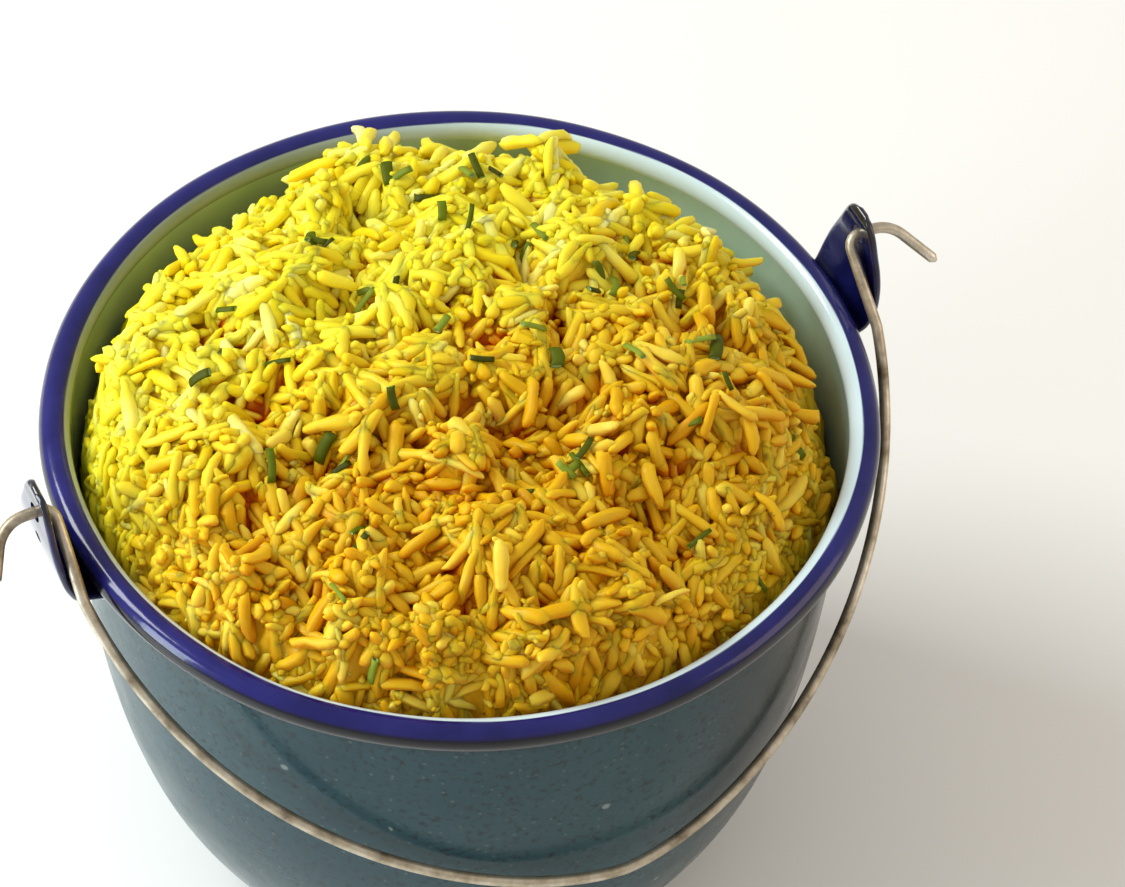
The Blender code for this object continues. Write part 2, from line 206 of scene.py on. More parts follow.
class Nodes:
    # A short way to write a node tree: add() makes a node, with inputs given by name or number.
    def __init__(self, name):
        self.material = bpy.data.materials.new(name)
        self.material.use_nodes = True
        self.tree = self.material.node_tree
        self.shader = self.tree.nodes["Principled BSDF"]

    def give(self, node, inputs):
        for key, value in inputs.items():
            socket = node.inputs[key]
            if isinstance(value, bpy.types.NodeSocket):
                self.tree.links.new(value, socket)
            else:
                socket.default_value = value

    def add(self, kind, inputs=None, **settings):
        node = self.tree.nodes.new(kind)
        for key, value in settings.items():
            setattr(node, key, value)
        self.give(node, inputs or {})
        return node

    def math(self, operation, a, b=0.0, c=0.0):
        node = self.add("ShaderNodeMath", {0: a, 1: b, 2: c}, operation=operation)
        return node.outputs[0]

    def noise(self, vector, scale, detail=2.0, roughness=0.5):
        inputs = {"Vector": vector, "Scale": scale, "Detail": detail, "Roughness": roughness}
        return self.add("ShaderNodeTexNoise", inputs).outputs["Fac"]

    def ramp(self, value, first, *between):
        # Each stop is its position and then its colour's three display values.
        node = self.add("ShaderNodeValToRGB", {0: value})
        elements = node.color_ramp.elements
        for element, (position, *colour) in zip(elements, (first, between[-1])):
            element.position, element.color = position, linear(*colour)
        for position, *colour in between[:-1]:
            elements.new(position).color = linear(*colour)
        return node.outputs["Color"]

    def range(self, value, low, high, newLow=0.0, newHigh=1.0):
        inputs = {0: value, 1: low, 2: high, 3: newLow, 4: newHigh}
        return self.add("ShaderNodeMapRange", inputs, interpolation_type="SMOOTHSTEP").outputs[0]

    def mix(self, share, a, b):
        node = self.add("ShaderNodeMix", data_type="RGBA")
        self.give(node, {0: share, 6: a, 7: b})
        return node.outputs[2]

    def place(self):
        return self.add("ShaderNodeTexCoord").outputs["Object"]

    def axes(self, vector):
        return self.add("ShaderNodeSeparateXYZ", {0: vector}).outputs

    def towards(self, place, degrees):
        # How far a place lies towards one side, from the pail's axis.
        axes = self.axes(place)
        x = self.math("MULTIPLY", axes["X"], math.cos(math.radians(degrees)))
        return self.math("MULTIPLY_ADD", axes["Y"], math.sin(math.radians(degrees)), x)

    def attribute(self, name):
        return self.add("ShaderNodeAttribute", attribute_name=name).outputs["Fac"]

    def cells(self, vector, scale):
        # Round cells: the distance to each one's middle, and its own random colour.
        inputs = {"Vector": vector, "Scale": scale, "Randomness": 1.0}
        outputs = self.add("ShaderNodeTexVoronoi", inputs).outputs
        return outputs["Distance"], self.add("ShaderNodeSeparateColor", {0: outputs["Color"]}).outputs

    def shade(self, inputs):
        self.give(self.shader, inputs)

    def bump(self, height, strength, distance):
        inputs = {"Height": height, "Strength": strength, "Distance": distance}
        self.shade({"Normal": self.add("ShaderNodeBump", inputs).outputs[0]})


# The pail: a profile turned about the upright axis

pail = {
    "beadRadius": 0.003,
    "wall": 0.001,
    "topRadius": 0.0752,  # outside of the wall, just under the rim
    "taper": 0.05,  # the wall draws in by this share of the depth
    "curveDepth": 0.102,
    "curveIn": 0.0141,  # and by this much more at that depth, as its fourth power
    "cornerDepth": 0.106,
    "cornerRadius": 0.012,
    "beadDepth": 0.006,  # where the wall goes over into the rim's bead
    "hub": 0.002,  # the flat bottoms' innermost ring, and the rings from it to their corners
    "spokes": 12,
    "around": 224,
    "wobble": 0.00012,  # unevenness of the hand-dipped enamel
    # Where the cobalt starts, in degrees round the rim's bead from its outermost line: the pail was
    # dipped a little aslant, so the line lies further in on one side.
    "cobaltStart": 116,
    "cobaltSlant": 17,
    "slantTowards": 124,
    "insideShadeTowards": 120,  # where painted shade and a painted reflection of the rice darken the inside most
    "outsideShadeTowards": -26,  # where painted shade makes the outside darkest and brownish
    "shadeBelow": (46, 18),  # where painted shade darkens its outer and lower side
}
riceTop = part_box("rice")[1].z
beadZ = rimTop - pail["beadRadius"]
beadCircle = rimOuter - pail["beadRadius"]
cornerSteps = 14
wallSteps = 46
beadSteps = 48
beadAngles = np.linspace(202, -52, beadSteps)


def wallRadius(depth):
    # Outside of the wall: straight taper plus a fourth power of the depth under the rim.
    bend = pail["curveIn"] * (depth / pail["curveDepth"]) ** 4
    return pail["topRadius"] - pail["taper"] * depth - bend


def wallSlope(depth):
    # Angle of the wall to the upright, from the same formula's slope.
    bend = 4 * pail["curveIn"] * depth**3 / pail["curveDepth"] ** 4
    return np.arctan(pail["taper"] + bend)


def sideProfile(inwards, firstDepth):
    # Radius and height down the wall and round its bottom corner, moved inwards by an offset.
    depth = np.linspace(firstDepth, pail["cornerDepth"], wallSteps)
    slope = wallSlope(depth)
    out, height = wallRadius(depth) - inwards * np.cos(slope), beadZ - depth + inwards * np.sin(slope)
    wallPart = np.stack([out, height])
    last = wallSlope(pail["cornerDepth"])
    turn = np.linspace(last, math.pi / 2, cornerSteps + 1)[1:]
    middle = wallRadius(pail["cornerDepth"]) - pail["cornerRadius"] * math.cos(last)
    reach = pail["cornerRadius"] - inwards
    cornerPart = np.stack([middle + reach * np.cos(turn), pail["cornerRadius"] - reach * np.sin(turn)])
    return np.concatenate([wallPart, cornerPart], axis=1).T


def turned(name, profile, zones):
    # Turns a profile about the upright axis. Both its ends are closed by poles on the axis.
    rows, around = len(profile), pail["around"]
    turns = np.arange(around) * fullTurn / around
    way = wayAlong(profile)[:, None]
    waves = np.sin(3 * turns + 1.0) + 0.6 * np.sin(7 * turns + 40 * way)
    waves = waves + 0.4 * np.sin(13 * turns + 2.0)
    radius = profile[:, :1] + pail["wobble"] * waves * smoothStep(0.0, 0.02, profile[:, :1])
    height = profile[:, 1:] * np.ones(around)
    grid = np.stack([radius * np.cos(turns), radius * np.sin(turns), height], axis=-1)
    points = np.concatenate([grid.reshape(-1, 3), [[0, 0, profile[0, 1]], [0, 0, profile[-1, 1]]]])
    faces = [part[:, ::-1] for part in tubeFaces(rows, around)]
    slots = np.repeat(np.append(zones[:-1], [zones[0], zones[-1]]), around)
    mesh = meshFrom(name, points, faces, slots)
    setAttribute(mesh, "glazeAndShade", np.append(glazeAndShadeOf(zones, turns), [0.0, 0.0]))
    return mesh


def glazeAndShadeOf(zones, turns):
    # 0 for the inside's glaze, 1 for cobalt and up to 2 for painted shade on the bead's outer and lower
    # side, on the bead's rows.
    start = pail["cobaltStart"] + pail["cobaltSlant"] * np.cos(turns - math.radians(pail["slantTowards"]))
    start = start + 2.0 * np.sin(5 * turns + 1.0) + 1.2 * np.sin(11 * turns)
    angle = beadAngles[:, None]
    glazeAndShade = np.zeros((len(zones), len(turns)))
    glazeAndShade[zones == 0] = 2.0
    glazeAndShade[zones == 2] = smoothStep(start + 3, start - 3, angle) + smoothStep(*pail["shadeBelow"], angle)
    return glazeAndShade


def pailProfile():
    # From the middle of the inside bottom, up the wall, over the rolled rim, down to the base.
    # Its zones: 0 for the outside, 1 for the inside and 2 for the rim's bead.
    inside = sideProfile(pail["wall"], pail["beadDepth"])[::-1]
    outside = sideProfile(0.0, pail["beadDepth"])
    spokes = pail["spokes"]
    inner = np.linspace(pail["hub"], inside[0, 0], spokes)[:-1]
    inner = np.stack([inner, np.full(spokes - 1, inside[0, 1])], axis=1)
    outer = np.linspace(outside[-1, 0], pail["hub"], spokes)[1:]
    outer = np.stack([outer, np.zeros(spokes - 1)], axis=1)
    angle = np.radians(beadAngles)[:, None]
    bead = [beadCircle, beadZ] + pail["beadRadius"] * np.hstack([np.cos(angle), np.sin(angle)])
    profile = np.concatenate([inner, inside, bead, outside, outer])
    counts = len(inner) + len(inside), beadSteps, len(outside) + len(outer)
    return profile, np.repeat([1, 2, 0], counts)


def enamelShader(name, roughness, coat=0.15, specular=0.25):
    # A glossy enamel with an uneven, slightly rippled surface. Its colour is linked by the caller.
    made = Nodes(name)
    place = made.place()
    gloss = made.range(made.noise(place, 90.0, 3.0), 0.3, 0.7, roughness, roughness + 0.10)
    made.shade({"Roughness": gloss, "Coat Weight": coat, "Coat Roughness": 0.06})
    made.shade({"Specular IOR Level": specular})
    return made, place


def speckledEnamel():
    made, place = enamelShader("speckledEnamel", 0.20, coat=0.12, specular=0.10)
    cloud = made.noise(place, 22.0, 4.0, 0.6)
    colour = made.ramp(cloud, (0.30, 34, 62, 70), (0.45, 40, 68, 76), (0.58, 46, 74, 81), (0.75, 57, 83, 89))
    fine = made.noise(place, 700.0, 2.0)
    colour = made.mix(made.range(fine, 0.50, 0.75), colour, linear(36, 48, 52))
    away, own = made.cells(place, 620.0)
    dots = made.math("MULTIPLY", made.range(away, 0.12, 0.30, 1.0, 0.0), made.range(own[0], 0.66, 0.90))
    colour = made.mix(dots, colour, linear(78, 92, 92))
    away, own = made.cells(place, 150.0)
    blots = made.math("MULTIPLY", made.range(away, 0.08, 0.16, 1.0, 0.0), made.range(own[1], 0.93, 0.97))
    colour = made.mix(blots, colour, linear(120, 132, 130))
    # Painted shade: darker and brownish on the side away from the key light.
    outsideShade = made.range(made.towards(place, pail["outsideShadeTowards"]), 0.030, 0.074, 0.0, 0.8)
    colour = made.mix(outsideShade, colour, linear(30, 22, 14))
    # Painted shade: near-black in a band just under the rim's bead.
    shadeUnderRim = made.range(made.axes(place)["Z"], beadZ - 0.010, beadZ - 0.004, 0.0, 0.85)
    colour = made.mix(shadeUnderRim, colour, linear(10, 10, 18))
    made.shade({"Base Color": colour})
    made.bump(made.noise(place, 160.0, 3.0), 0.12, 0.0006)
    return made.material


def insideEnamel():
    made, place = enamelShader("insideEnamel", 0.16)
    cloud = made.noise(place, 30.0, 4.0, 0.6)
    colour = made.ramp(cloud, (0.35, 178, 216, 208), (0.7, 200, 232, 226))
    # Painted shade and a painted reflection of the yellow rice: olive green on one side of the inside, more
    # so lower down.
    riceReflectionShade = made.math(
        "MULTIPLY",
        made.range(made.towards(place, pail["insideShadeTowards"]), -0.035, 0.055, 0.0, 0.6),
        made.range(made.axes(place)["Z"], beadZ + 0.001, beadZ - 0.006, 0.55, 1.0),
    )
    colour = made.mix(riceReflectionShade, colour, linear(98, 112, 62))
    made.shade({"Base Color": colour})
    made.bump(made.noise(place, 200.0, 3.0), 0.10, 0.0005)
    return made.material


def cobaltEnamel(name, dark, light, banded=False, gloss=0.3, shadeFrom=None):
    made, place = enamelShader(name, 0.12, coat=gloss)
    cloud = made.noise(place, 60.0, 4.0, 0.6)
    colour = made.ramp(cloud, (0.35, *dark), (0.72, *light))
    if banded:
        glazeAndShade = made.attribute("glazeAndShade")
        # Painted shade: the pale lip turns olive towards the back left, where the inside lies in shade.
        lipShade = made.range(made.towards(place, pail["slantTowards"]), 0.020, 0.070, 0.0, 0.75)
        pale = made.mix(lipShade, linear(208, 232, 240), linear(96, 108, 84))
        colour = made.mix(made.range(glazeAndShade, 0.0, 1.0), pale, colour)
        # Painted shade: the bead's outer and lower side goes near-black.
        colour = made.mix(made.range(glazeAndShade, 1.0, 2.0), colour, linear(16, 15, 24))
    if shadeFrom:
        # Painted shade: near-black over the ear's curled top, from this height up.
        earTopShade = made.range(made.axes(place)["Z"], shadeFrom, shadeFrom + 0.005, 0.0, 0.85)
        colour = made.mix(earTopShade, colour, linear(8, 8, 16))
    made.shade({"Base Color": colour})
    made.bump(made.noise(place, 260.0, 3.0), 0.14, 0.0005)
    return made.material


profile, zones = pailProfile()
pailMesh = turned("pailEnamel", profile, zones)
cobaltColours = (16, 15, 84), (34, 34, 112)
pailMaterials = [speckledEnamel(), insideEnamel(), cobaltEnamel("cobaltRim", *cobaltColours, banded=True)]
addPiece("pailEnamel", pailMesh, pailMaterials, "pail", ["pail", "rim"])
print("pail")

# The bail: a round wire along its centre line, turned down by the rest angle about the pivot

bail = {
    "wire": 0.0011,
    "legX": 0.0825,
    "leg": 0.010,
    "spread": 0.0839,
    "reach": 0.0998,
    "spreadPower": 1.22,
    "reachPower": 0.92,
    "archStart": 9,
    "restTilt": 40.7,
    "hookBend": 0.0025,
    "curlX": 0.0880,
    "curl": 0.0070,
    "rightEnd": (54, 0.0086),  # how far the end turns, and its straight length
    "leftEnd": (66, 0.0066),
    "sides": 16,
}


def halfBail(turnDegrees, tail):
    # The wire's right half, from its tip: a straight tail, an arc, a straight run through the ear,
    # a quarter bend, a straight leg, then an arch of (spread cos^p, reach sin^q).
    last = math.radians(turnDegrees)
    angle = np.linspace(last, 0, 12)
    curl = bail["curlX"] + bail["curl"] * np.sin(angle), bail["curl"] * (1 - np.cos(angle))
    along = np.linspace(tail, 0, 7)[:-1]
    tip = curl[0][0] + along * math.cos(last), curl[1][0] + along * math.sin(last)
    corner = np.radians(np.linspace(-90, -180, 9))
    bend = bail["hookBend"]
    quarter = bail["legX"] + bend + bend * np.cos(corner), bend + bend * np.sin(corner)
    legEnd = np.array([bail["legX"]]), np.array([bail["leg"]])
    arch = np.radians(np.linspace(bail["archStart"], 90, 90))
    out = bail["spread"] * np.clip(np.cos(arch), 0, 1) ** bail["spreadPower"]
    curve = out, bail["reach"] * np.sin(arch) ** bail["reachPower"]
    parts = [tip, curl, quarter, legEnd, curve]
    return np.concatenate([np.stack(part, axis=1) for part in parts])


def bailPath():
    right = halfBail(*bail["rightEnd"])
    left = halfBail(*bail["leftEnd"]) * [-1, 1]
    flat = np.concatenate([right, left[-2::-1]])
    tilt = math.radians(bail["restTilt"])
    down = flat[:, 1] * math.sin(tilt)
    return np.stack([flat[:, 0], -flat[:, 1] * math.cos(tilt), pivotZ - down], axis=1)


def evenPath(path, step):
    # The same line with its points at even distances.
    way = wayAlong(path)
    even = np.linspace(0, way[-1], int(way[-1] / step) + 1)
    return np.stack([np.interp(even, way, path[:, i]) for i in range(3)], axis=1)


def tube(name, path, radii, sides, side):
    # A round section carried along a path that lies in one plane, whose normal is side.
    along = np.gradient(path, axis=0)
    along /= np.linalg.norm(along, axis=1, keepdims=True)
    across = np.cross(side, along)
    turns = np.arange(sides) * fullTurn / sides
    ring = across[:, None] * np.cos(turns)[:, None] + np.asarray(side) * np.sin(turns)[:, None]
    points = path[:, None] + radii[:, None, None] * ring
    allPoints = np.concatenate([points.reshape(-1, 3), path[:1], path[-1:]])
    return meshFrom(name, allPoints, tubeFaces(len(path), sides))


def roundedEnds(path, radius):
    # The wire's radius at each point: even, and rounded off over the last bit at both ends.
    way = wayAlong(path)
    near = np.minimum(way, way[-1] - way) / radius
    return radius * np.sqrt(1 - (1 - np.clip(near, 0.05, 1)) ** 2)


def wireSteel():
    made = Nodes("wireSteel")
    place = made.place()
    wear = made.noise(place, 120.0, 5.0, 0.65)
    colour = made.ramp(wear, (0.30, 112, 99, 80), (0.50, 186, 174, 152), (0.72, 228, 220, 204))
    made.shade({"Base Color": colour, "Metallic": 0.75})
    made.shade({"Roughness": made.range(wear, 0.3, 0.7, 0.50, 0.30)})
    made.bump(made.noise(place, 900.0, 3.0), 0.25, 0.0002)
    return made.material


wirePath = evenPath(bailPath(), 0.0009)
wireTilt = math.radians(bail["restTilt"])
wireNormal = (0.0, -math.sin(wireTilt), math.cos(wireTilt))
wireMesh = tube("bailWire", wirePath, roundedEnds(wirePath, bail["wire"]), bail["sides"], wireNormal)
addPiece("bailWire", wireMesh, [wireSteel()], "bail", ["bail"])
print("bail")

# The ears: a strip that follows a bent line, with a flat round-edged section, holes and rivets

ear = {
    "sheet": 0.0014,
    "gap": 0.00045,  # between its foot and the pail's wall
    "upright": 0.0853,  # where its upright part stands
    "bailHole": 0.0020,
    "smallHole": 0.0012,
    "smallHoleDrop": 0.0070,
    "rivet": 0.0018,
    "rivetSpread": 0.0044,
    "rivetDrop": 0.0088,
    "rows": 90,
    "columns": 24,
    "edge": 7,  # points round each edge
    "holeSides": 40,
    "rivetSides": 24,
}


def earStations():
    # Distance out, height over the rim's middle, half width, and share of the pail's roundness.
    wall = pail["topRadius"] + ear["gap"] + ear["sheet"] / 2
    up = ear["upright"]
    return np.array([
        (wall - 0.0002, -0.0112, 0.0044, 1.0), (wall, -0.0098, 0.0070, 1.0),
        (wall + 0.0004, -0.0078, 0.0084, 1.0), (wall + 0.0016, -0.0062, 0.0092, 0.8),
        (wall + 0.0036, -0.0048, 0.0098, 0.5), (up - 0.0030, -0.0034, 0.0102, 0.3),
        (up - 0.0019, -0.0014, 0.0104, 0.2), (up - 0.0010, 0.0012, 0.0104, 0.2),
        (up - 0.0003, 0.0050, 0.0096, 0.2), (up, 0.0085, 0.0083, 0.2), (up, 0.0118, 0.0068, 0.2),
        (up, 0.0146, 0.0056, 0.2), (up - 0.0001, 0.0166, 0.0045, 0.1), (up, 0.0179, 0.0032, 0.0),
        (up + 0.0005, 0.0186, 0.0010, 0.0),
    ])


def smoothRows(table, count):
    # A smooth curve through the rows of a table: cubic stretches with slopes from the neighbours.
    at = np.linspace(0, len(table) - 1, count)
    first = np.clip(at.astype(int), 0, len(table) - 2)
    share = (at - first)[:, None]
    slope = np.gradient(table, axis=0)
    a, b, slopeA, slopeB = table[first], table[first + 1], slope[first], slope[first + 1]
    square, cube = share**2, share**3
    rise = 3 * square - 2 * cube
    return a * (1 - rise) + b * rise + slopeA * (share - 2 * square + cube) + slopeB * (cube - square)


def earMesh():
    # Each station carries a flat section with half-round edges, bent by a share of the wall's curve.
    rows = smoothRows(earStations(), ear["rows"])
    out, height, half, bend = rows.T
    run = np.stack([np.gradient(out), np.gradient(height)], axis=1)
    step = np.linalg.norm(run, axis=1)
    run /= step[:, None]
    way = np.concatenate([[0], np.cumsum(step)[:-1]])
    near = np.clip(np.minimum(way, way[-1] - way) / (ear["sheet"] / 2), 0.03, 1)
    thick = ear["sheet"] / 2 * np.sqrt(1 - (1 - near) ** 2)
    flat = np.linspace(-1, 1, ear["columns"])
    arc = np.linspace(-math.pi / 2, math.pi / 2, ear["edge"] + 2)[1:-1]
    spread = np.concatenate([flat, np.ones(ear["edge"]), -flat, -np.ones(ear["edge"])])
    roundY = np.concatenate([0 * flat, np.cos(arc), 0 * flat, -np.cos(arc)])
    roundN = np.concatenate([0 * flat - 1, np.sin(arc), 0 * flat + 1, -np.sin(arc)])
    edge = np.minimum(thick, half * 0.9)
    across = spread * (half - edge)[:, None] + roundY * edge[:, None]
    through = roundN * thick[:, None]
    roundWall = pail["topRadius"] - np.sqrt(pail["topRadius"] ** 2 - across**2)
    x = out[:, None] + through * run[:, 1:] - bend[:, None] * roundWall
    z = beadZ + height[:, None] - through * run[:, :1]
    grid = np.stack([x, across, z], axis=-1)
    points = np.concatenate([grid.reshape(-1, 3), grid[:1].mean(axis=1), grid[-1:].mean(axis=1)])
    return meshFrom("ear", points, tubeFaces(*grid.shape[:2]))


def rod(radius, length, height):
    # A closed round bar along X, through the ear's upright part, that cuts a hole.
    sides = ear["holeSides"]
    turns = np.arange(sides) * fullTurn / sides
    ring = np.stack([0 * turns, radius * np.cos(turns), height + radius * np.sin(turns)], axis=1)
    ends = [ring + [ear["upright"] + side * length / 2, 0, 0] for side in (-1, 1)]
    index = np.arange(2 * sides).reshape(2, sides)
    return meshFrom("rod", np.concatenate(ends), [gridFaces(2, sides, True), index[:1, ::-1], index[1:]])


def rivetMesh(name):
    # Two round-headed rivets on the foot: each a quarter ellipse turned about its own line.
    around = ear["rivetSides"]
    turns = np.arange(around) * fullTurn / around
    lift = np.radians(np.linspace(-20, 84, 9))[:, None]
    radius, bulge = ear["rivet"] * np.cos(lift), 0.6 * ear["rivet"] * np.sin(lift)
    points, quads, caps = [], [], []
    for number, y in enumerate((-ear["rivetSpread"], ear["rivetSpread"])):
        x = math.sqrt(pail["topRadius"] ** 2 - y**2) + ear["gap"] + ear["sheet"]
        out = x + bulge + 0 * turns
        across, up = y + radius * np.cos(turns), beadZ - ear["rivetDrop"] + radius * np.sin(turns)
        points.append(np.stack([out, across, up], axis=-1).reshape(-1, 3))
        first = number * out.size
        index = first + np.arange(out.size).reshape(out.shape)
        quads.append(gridFaces(*out.shape, True, first))
        caps += [index[-1:], index[:1, ::-1]]
    return meshFrom(name, np.concatenate(points), [np.concatenate(quads), np.concatenate(caps)])


def cutHoles(obj):
    # Cuts the two holes and keeps the result as the object's own mesh.
    for radius, height in (
        (ear["bailHole"], pivotZ),
        (ear["smallHole"], pivotZ - ear["smallHoleDrop"]),
    ):
        cutter = addObject("cutter", rod(radius, 6 * ear["sheet"], height))
        cut = obj.modifiers.new("hole", "BOOLEAN")
        cut.operation = "DIFFERENCE"
        cut.object = cutter
        graph = bpy.context.evaluated_depsgraph_get()
        obj.data = bpy.data.meshes.new_from_object(obj.evaluated_get(graph))
        obj.modifiers.clear()
        bpy.data.objects.remove(cutter)
    obj.data.shade_smooth()
    obj.data.set_sharp_from_angle(angle=math.radians(50))


def makeEars(material):
    # The left ear is the right one, turned half round the pail.
    first = addObject("earShape", earMesh())
    cutHoles(first)
    shape = first.data
    bpy.data.objects.remove(first)
    for name, turn in (("Right", 0.0), ("Left", math.pi)):
        mesh, heads = shape.copy(), rivetMesh("rivets" + name)
        mesh.transform(Matrix.Rotation(turn, 4, "Z"))
        heads.transform(Matrix.Rotation(turn, 4, "Z"))
        addPiece("ear" + name, mesh, [material], "pail", ["ear_" + name.lower()])
        addPiece("rivets" + name, heads, [material], "pail")


earColours = (10, 11, 50), (30, 34, 98)
earMaterial = cobaltEnamel("cobaltEar", *earColours, gloss=0.9, shadeFrom=pivotZ - 0.001)
makeEars(earMaterial)
print("ears")

# The rice: the heap's form, grains that settle on it, and sticky rice between them

heap = {
    "radius": 0.0728,
    "top": 0.0195,  # over the rim's middle
    "dome": 0.012,
    "shoulder": 0.014,
    "shoulderPower": 10,
    "groove": 0.005,  # how much deeper the heap goes right at the wall
    "slump": 0.019,  # and how much deeper at the right, where it has slid away from the wall
    "slumpAngle": 8,
    "slumpSpread": 54,
    "inset": 0.072,  # how much smaller it is towards the back
    "insetAngle": 98,
    "insetSpread": 72,
    "gap": 0.00035,
    # humps and hollows: angle from the right ear, distance out, height, width
    "lumps": (
        (-15, 0.058, -0.0025, 0.016), (22, 0.066, -0.0075, 0.013), (66, 0.056, -0.0015, 0.014),
        (114, 0.064, -0.0050, 0.015), (128, 0.040, 0.0025, 0.013), (88, 0.036, -0.0025, 0.010),
        (143, 0.018, -0.0030, 0.009), (165, 0.050, 0.0025, 0.013), (183, 0.036, -0.0035, 0.010),
        (225, 0.042, 0.0020, 0.012), (232, 0.013, 0.0030, 0.010), (305, 0.018, 0.0025, 0.009),
        (270, 0.022, -0.0025, 0.009), (250, 0.046, 0.0020, 0.011), (320, 0.046, 0.0020, 0.012),
    ),
    # clefts between the large clumps, seen from the front left: from and to across and back,
    # in millimetres, then how deep and how wide
    "clefts": (
        (-19, 38, -26, 3, 4.5, 4.0), (-26, 3, -40, -20, 4.0, 4.0), (12, 22, -2, -17, 4.5, 4.0),
        (-24, -28, 6, -18, 3.5, 3.5), (6, -18, 30, -12, 2.5, 3.0), (26, 22, 46, 4, 3.0, 3.5),
        (-44, 30, -60, 8, 3.0, 3.5), (-8, -40, 8, -62, 3.5, 3.5), (34, -34, 44, -52, 3.0, 3.5),
    ),
    "clumps": 150,
    "clumpSize": (0.005, 0.014),
    "clumpHeight": (0.0012, 0.0080),
    "clumpDrop": 0.0036,  # takes the clumps' mean height off again
    "turn": -25.8,  # from the front left view's axes to the pail's
    "mostSteep": 3.0,  # steeper sides count as this steep
    "loose": 0.0060,  # depth of the loose grains over the firm rice
    "sticky": (0.0002, 0.0015),  # how far below the grains' smoothed tops the rice between them lies
    "wideShare": 0.6,  # of the mean height that tells how sunk a place is
    "bedCells": 284,
    "bedEdgeDepth": 0.02,  # the depth under the rim at which the bed has the pail's inside width
    "bedGap": 0.0002,
    "bedSideDepth": 0.034,  # and at which its hidden side starts
    "bedTone": 0.45,
    "sideSunk": 5.0,  # the hidden side counts as this many millimetres deep
    "sunkGrains": 24000,  # grains that only swell the sticky rice
    "sunkLength": (0.0024, 0.0075),
    "sunkWidth": (0.0019, 0.0029),
    "sunkOut": (-0.0004, 0.0006),
    "sunkSteepest": 2.5,
    "seed": 11,
    "pressSeed": 8,
}
grid = {"cell": 0.0005, "half": 0.078}
grains = {
    "most": 4200,
    "tries": 24000,
    "reach": 0.0735,  # how far out a spot may be
    "choice": 3,  # spots of which a falling grain takes the lowest
    "leastMissing": 0.0002,  # a grain falls only where at least this much height is missing
    "mostOver": 0.0026,  # and stays where it is at most this much too high, and not too steep
    "steepest": 2.6,
    "length": (0.0080, 0.0122),
    "shortLength": (0.0035, 0.0068),
    "shortShare": 0.16,
    "width": (0.0020, 0.0030),
    "sides": 7,
    "rings": (-0.95, -0.74, -0.30, 0.30, 0.74, 0.95),  # their places along, from end to end
    "leastShown": 0.0001,
    "stuck": 0.45,  # how high a grain lies on those below it, as a share of its radius
    "alike": 0.50,  # share of grains that follow their clump's direction, give or take this
    "alikeSpread": 0.45,
    "standing": 4300,  # grains pushed in at an angle once the others lie
    "standingReach": 0.0732,
    "standingTilt": (0.35, 1.40),
    "standingOut": (-0.0005, 0.0012),  # how far their upper ends stand out of the heap
    "nearWall": 0.062,  # from here out they lean inwards: at most this turned aside, and flatter
    "nearTurn": 1.5,
    "nearTilt": 0.35,
    "upright": 0.74,  # more tilt than this makes a grain an upright one
    "clinging": 1500,  # grains along the heap's side, which follow its slope
    "clingingRing": (0.0605, 0.0725),
    "clingingTurn": 0.8,  # how much their headings vary about the wall's own direction
    "clingingOut": (-0.0004, 0.0005),
    "filling": 800,  # grains laid where the rice under them would be bare
    "fillingReach": 0.071,
    "fillingChoice": 40,  # spots of which each takes the barest
    "patch": 4,  # cells that count on each side of a spot
    "bareUnder": 0.0002,
    "fillingOut": (-0.0003, 0.0005),
    "fillingTilt": 0.12,
    "above": 0.0024,  # how far a grain may stand over the heap's top
    "waves": 18,
    "waveLength": (0.0016, 0.0050),
    "waveHeight": 0.00006,
    "seed": 5,
    "shapeSeed": 21,
}
cellCount = int(2 * grid["half"] / grid["cell"])
cellMiddle = -grid["half"] + grid["cell"] * (np.arange(cellCount) + 0.5)
gridX, gridY = np.meshgrid(cellMiddle, cellMiddle, indexing="ij")


def fromView(across, back):
    # Millimetres across and back, as seen from the front left, as metres in the pail's axes.
    cos, sin = math.cos(math.radians(heap["turn"])), math.sin(math.radians(heap["turn"]))
    return np.array([across * cos - back * sin, across * sin + back * cos]) / 1000


def turnFrom(angle, start):
    # The shorter way round between two angles, in degrees.
    return (angle - start + 180) % 360 - 180


def bellAround(angle, which):
    # How much a side of the heap has of something that is centred on one direction.
    return np.exp(-((turnFrom(angle, heap[which + "Angle"]) / heap[which + "Spread"]) ** 2))


def heapHeight(x, y):
    # Over the rim's middle: a dome, a steep power at its edge, and round lumps and hollows.
    angle = np.degrees(np.arctan2(y, x))
    inset = heap["inset"] * bellAround(angle, "inset")
    out = np.minimum(np.hypot(x, y) / heap["radius"] / (1 - inset), 1.02)
    height = heap["top"] - heap["dome"] * out**2 - heap["shoulder"] * out ** heap["shoulderPower"]
    for towards, distance, lump, width in heap["lumps"]:
        atX = distance * math.cos(math.radians(towards))
        atY = distance * math.sin(math.radians(towards))
        height = height + lump * np.exp(-((x - atX) ** 2 + (y - atY) ** 2) / width**2)
    height = height - heap["groove"] * smoothStep(0.88, 1.0, out)
    slump = heap["slump"] * bellAround(angle, "slump")
    height = height - slump * smoothStep(0.72, 0.98, out)
    for cleft in heap["clefts"]:
        height = height - cleftDepth(x, y, *cleft)
    return height


def cleftDepth(x, y, across, back, toAcross, toBack, depth, width):
    # A trough along a line: its depth falls off as a bell curve of the distance to the line.
    start, end = fromView(across, back), fromView(toAcross, toBack)
    run = end - start
    share = np.clip(((x - start[0]) * run[0] + (y - start[1]) * run[1]) / run.dot(run), 0, 1)
    away = (x - start[0] - share * run[0]) ** 2 + (y - start[1] - share * run[1]) ** 2
    return depth / 1000 * np.exp(-away / (width / 1000) ** 2)


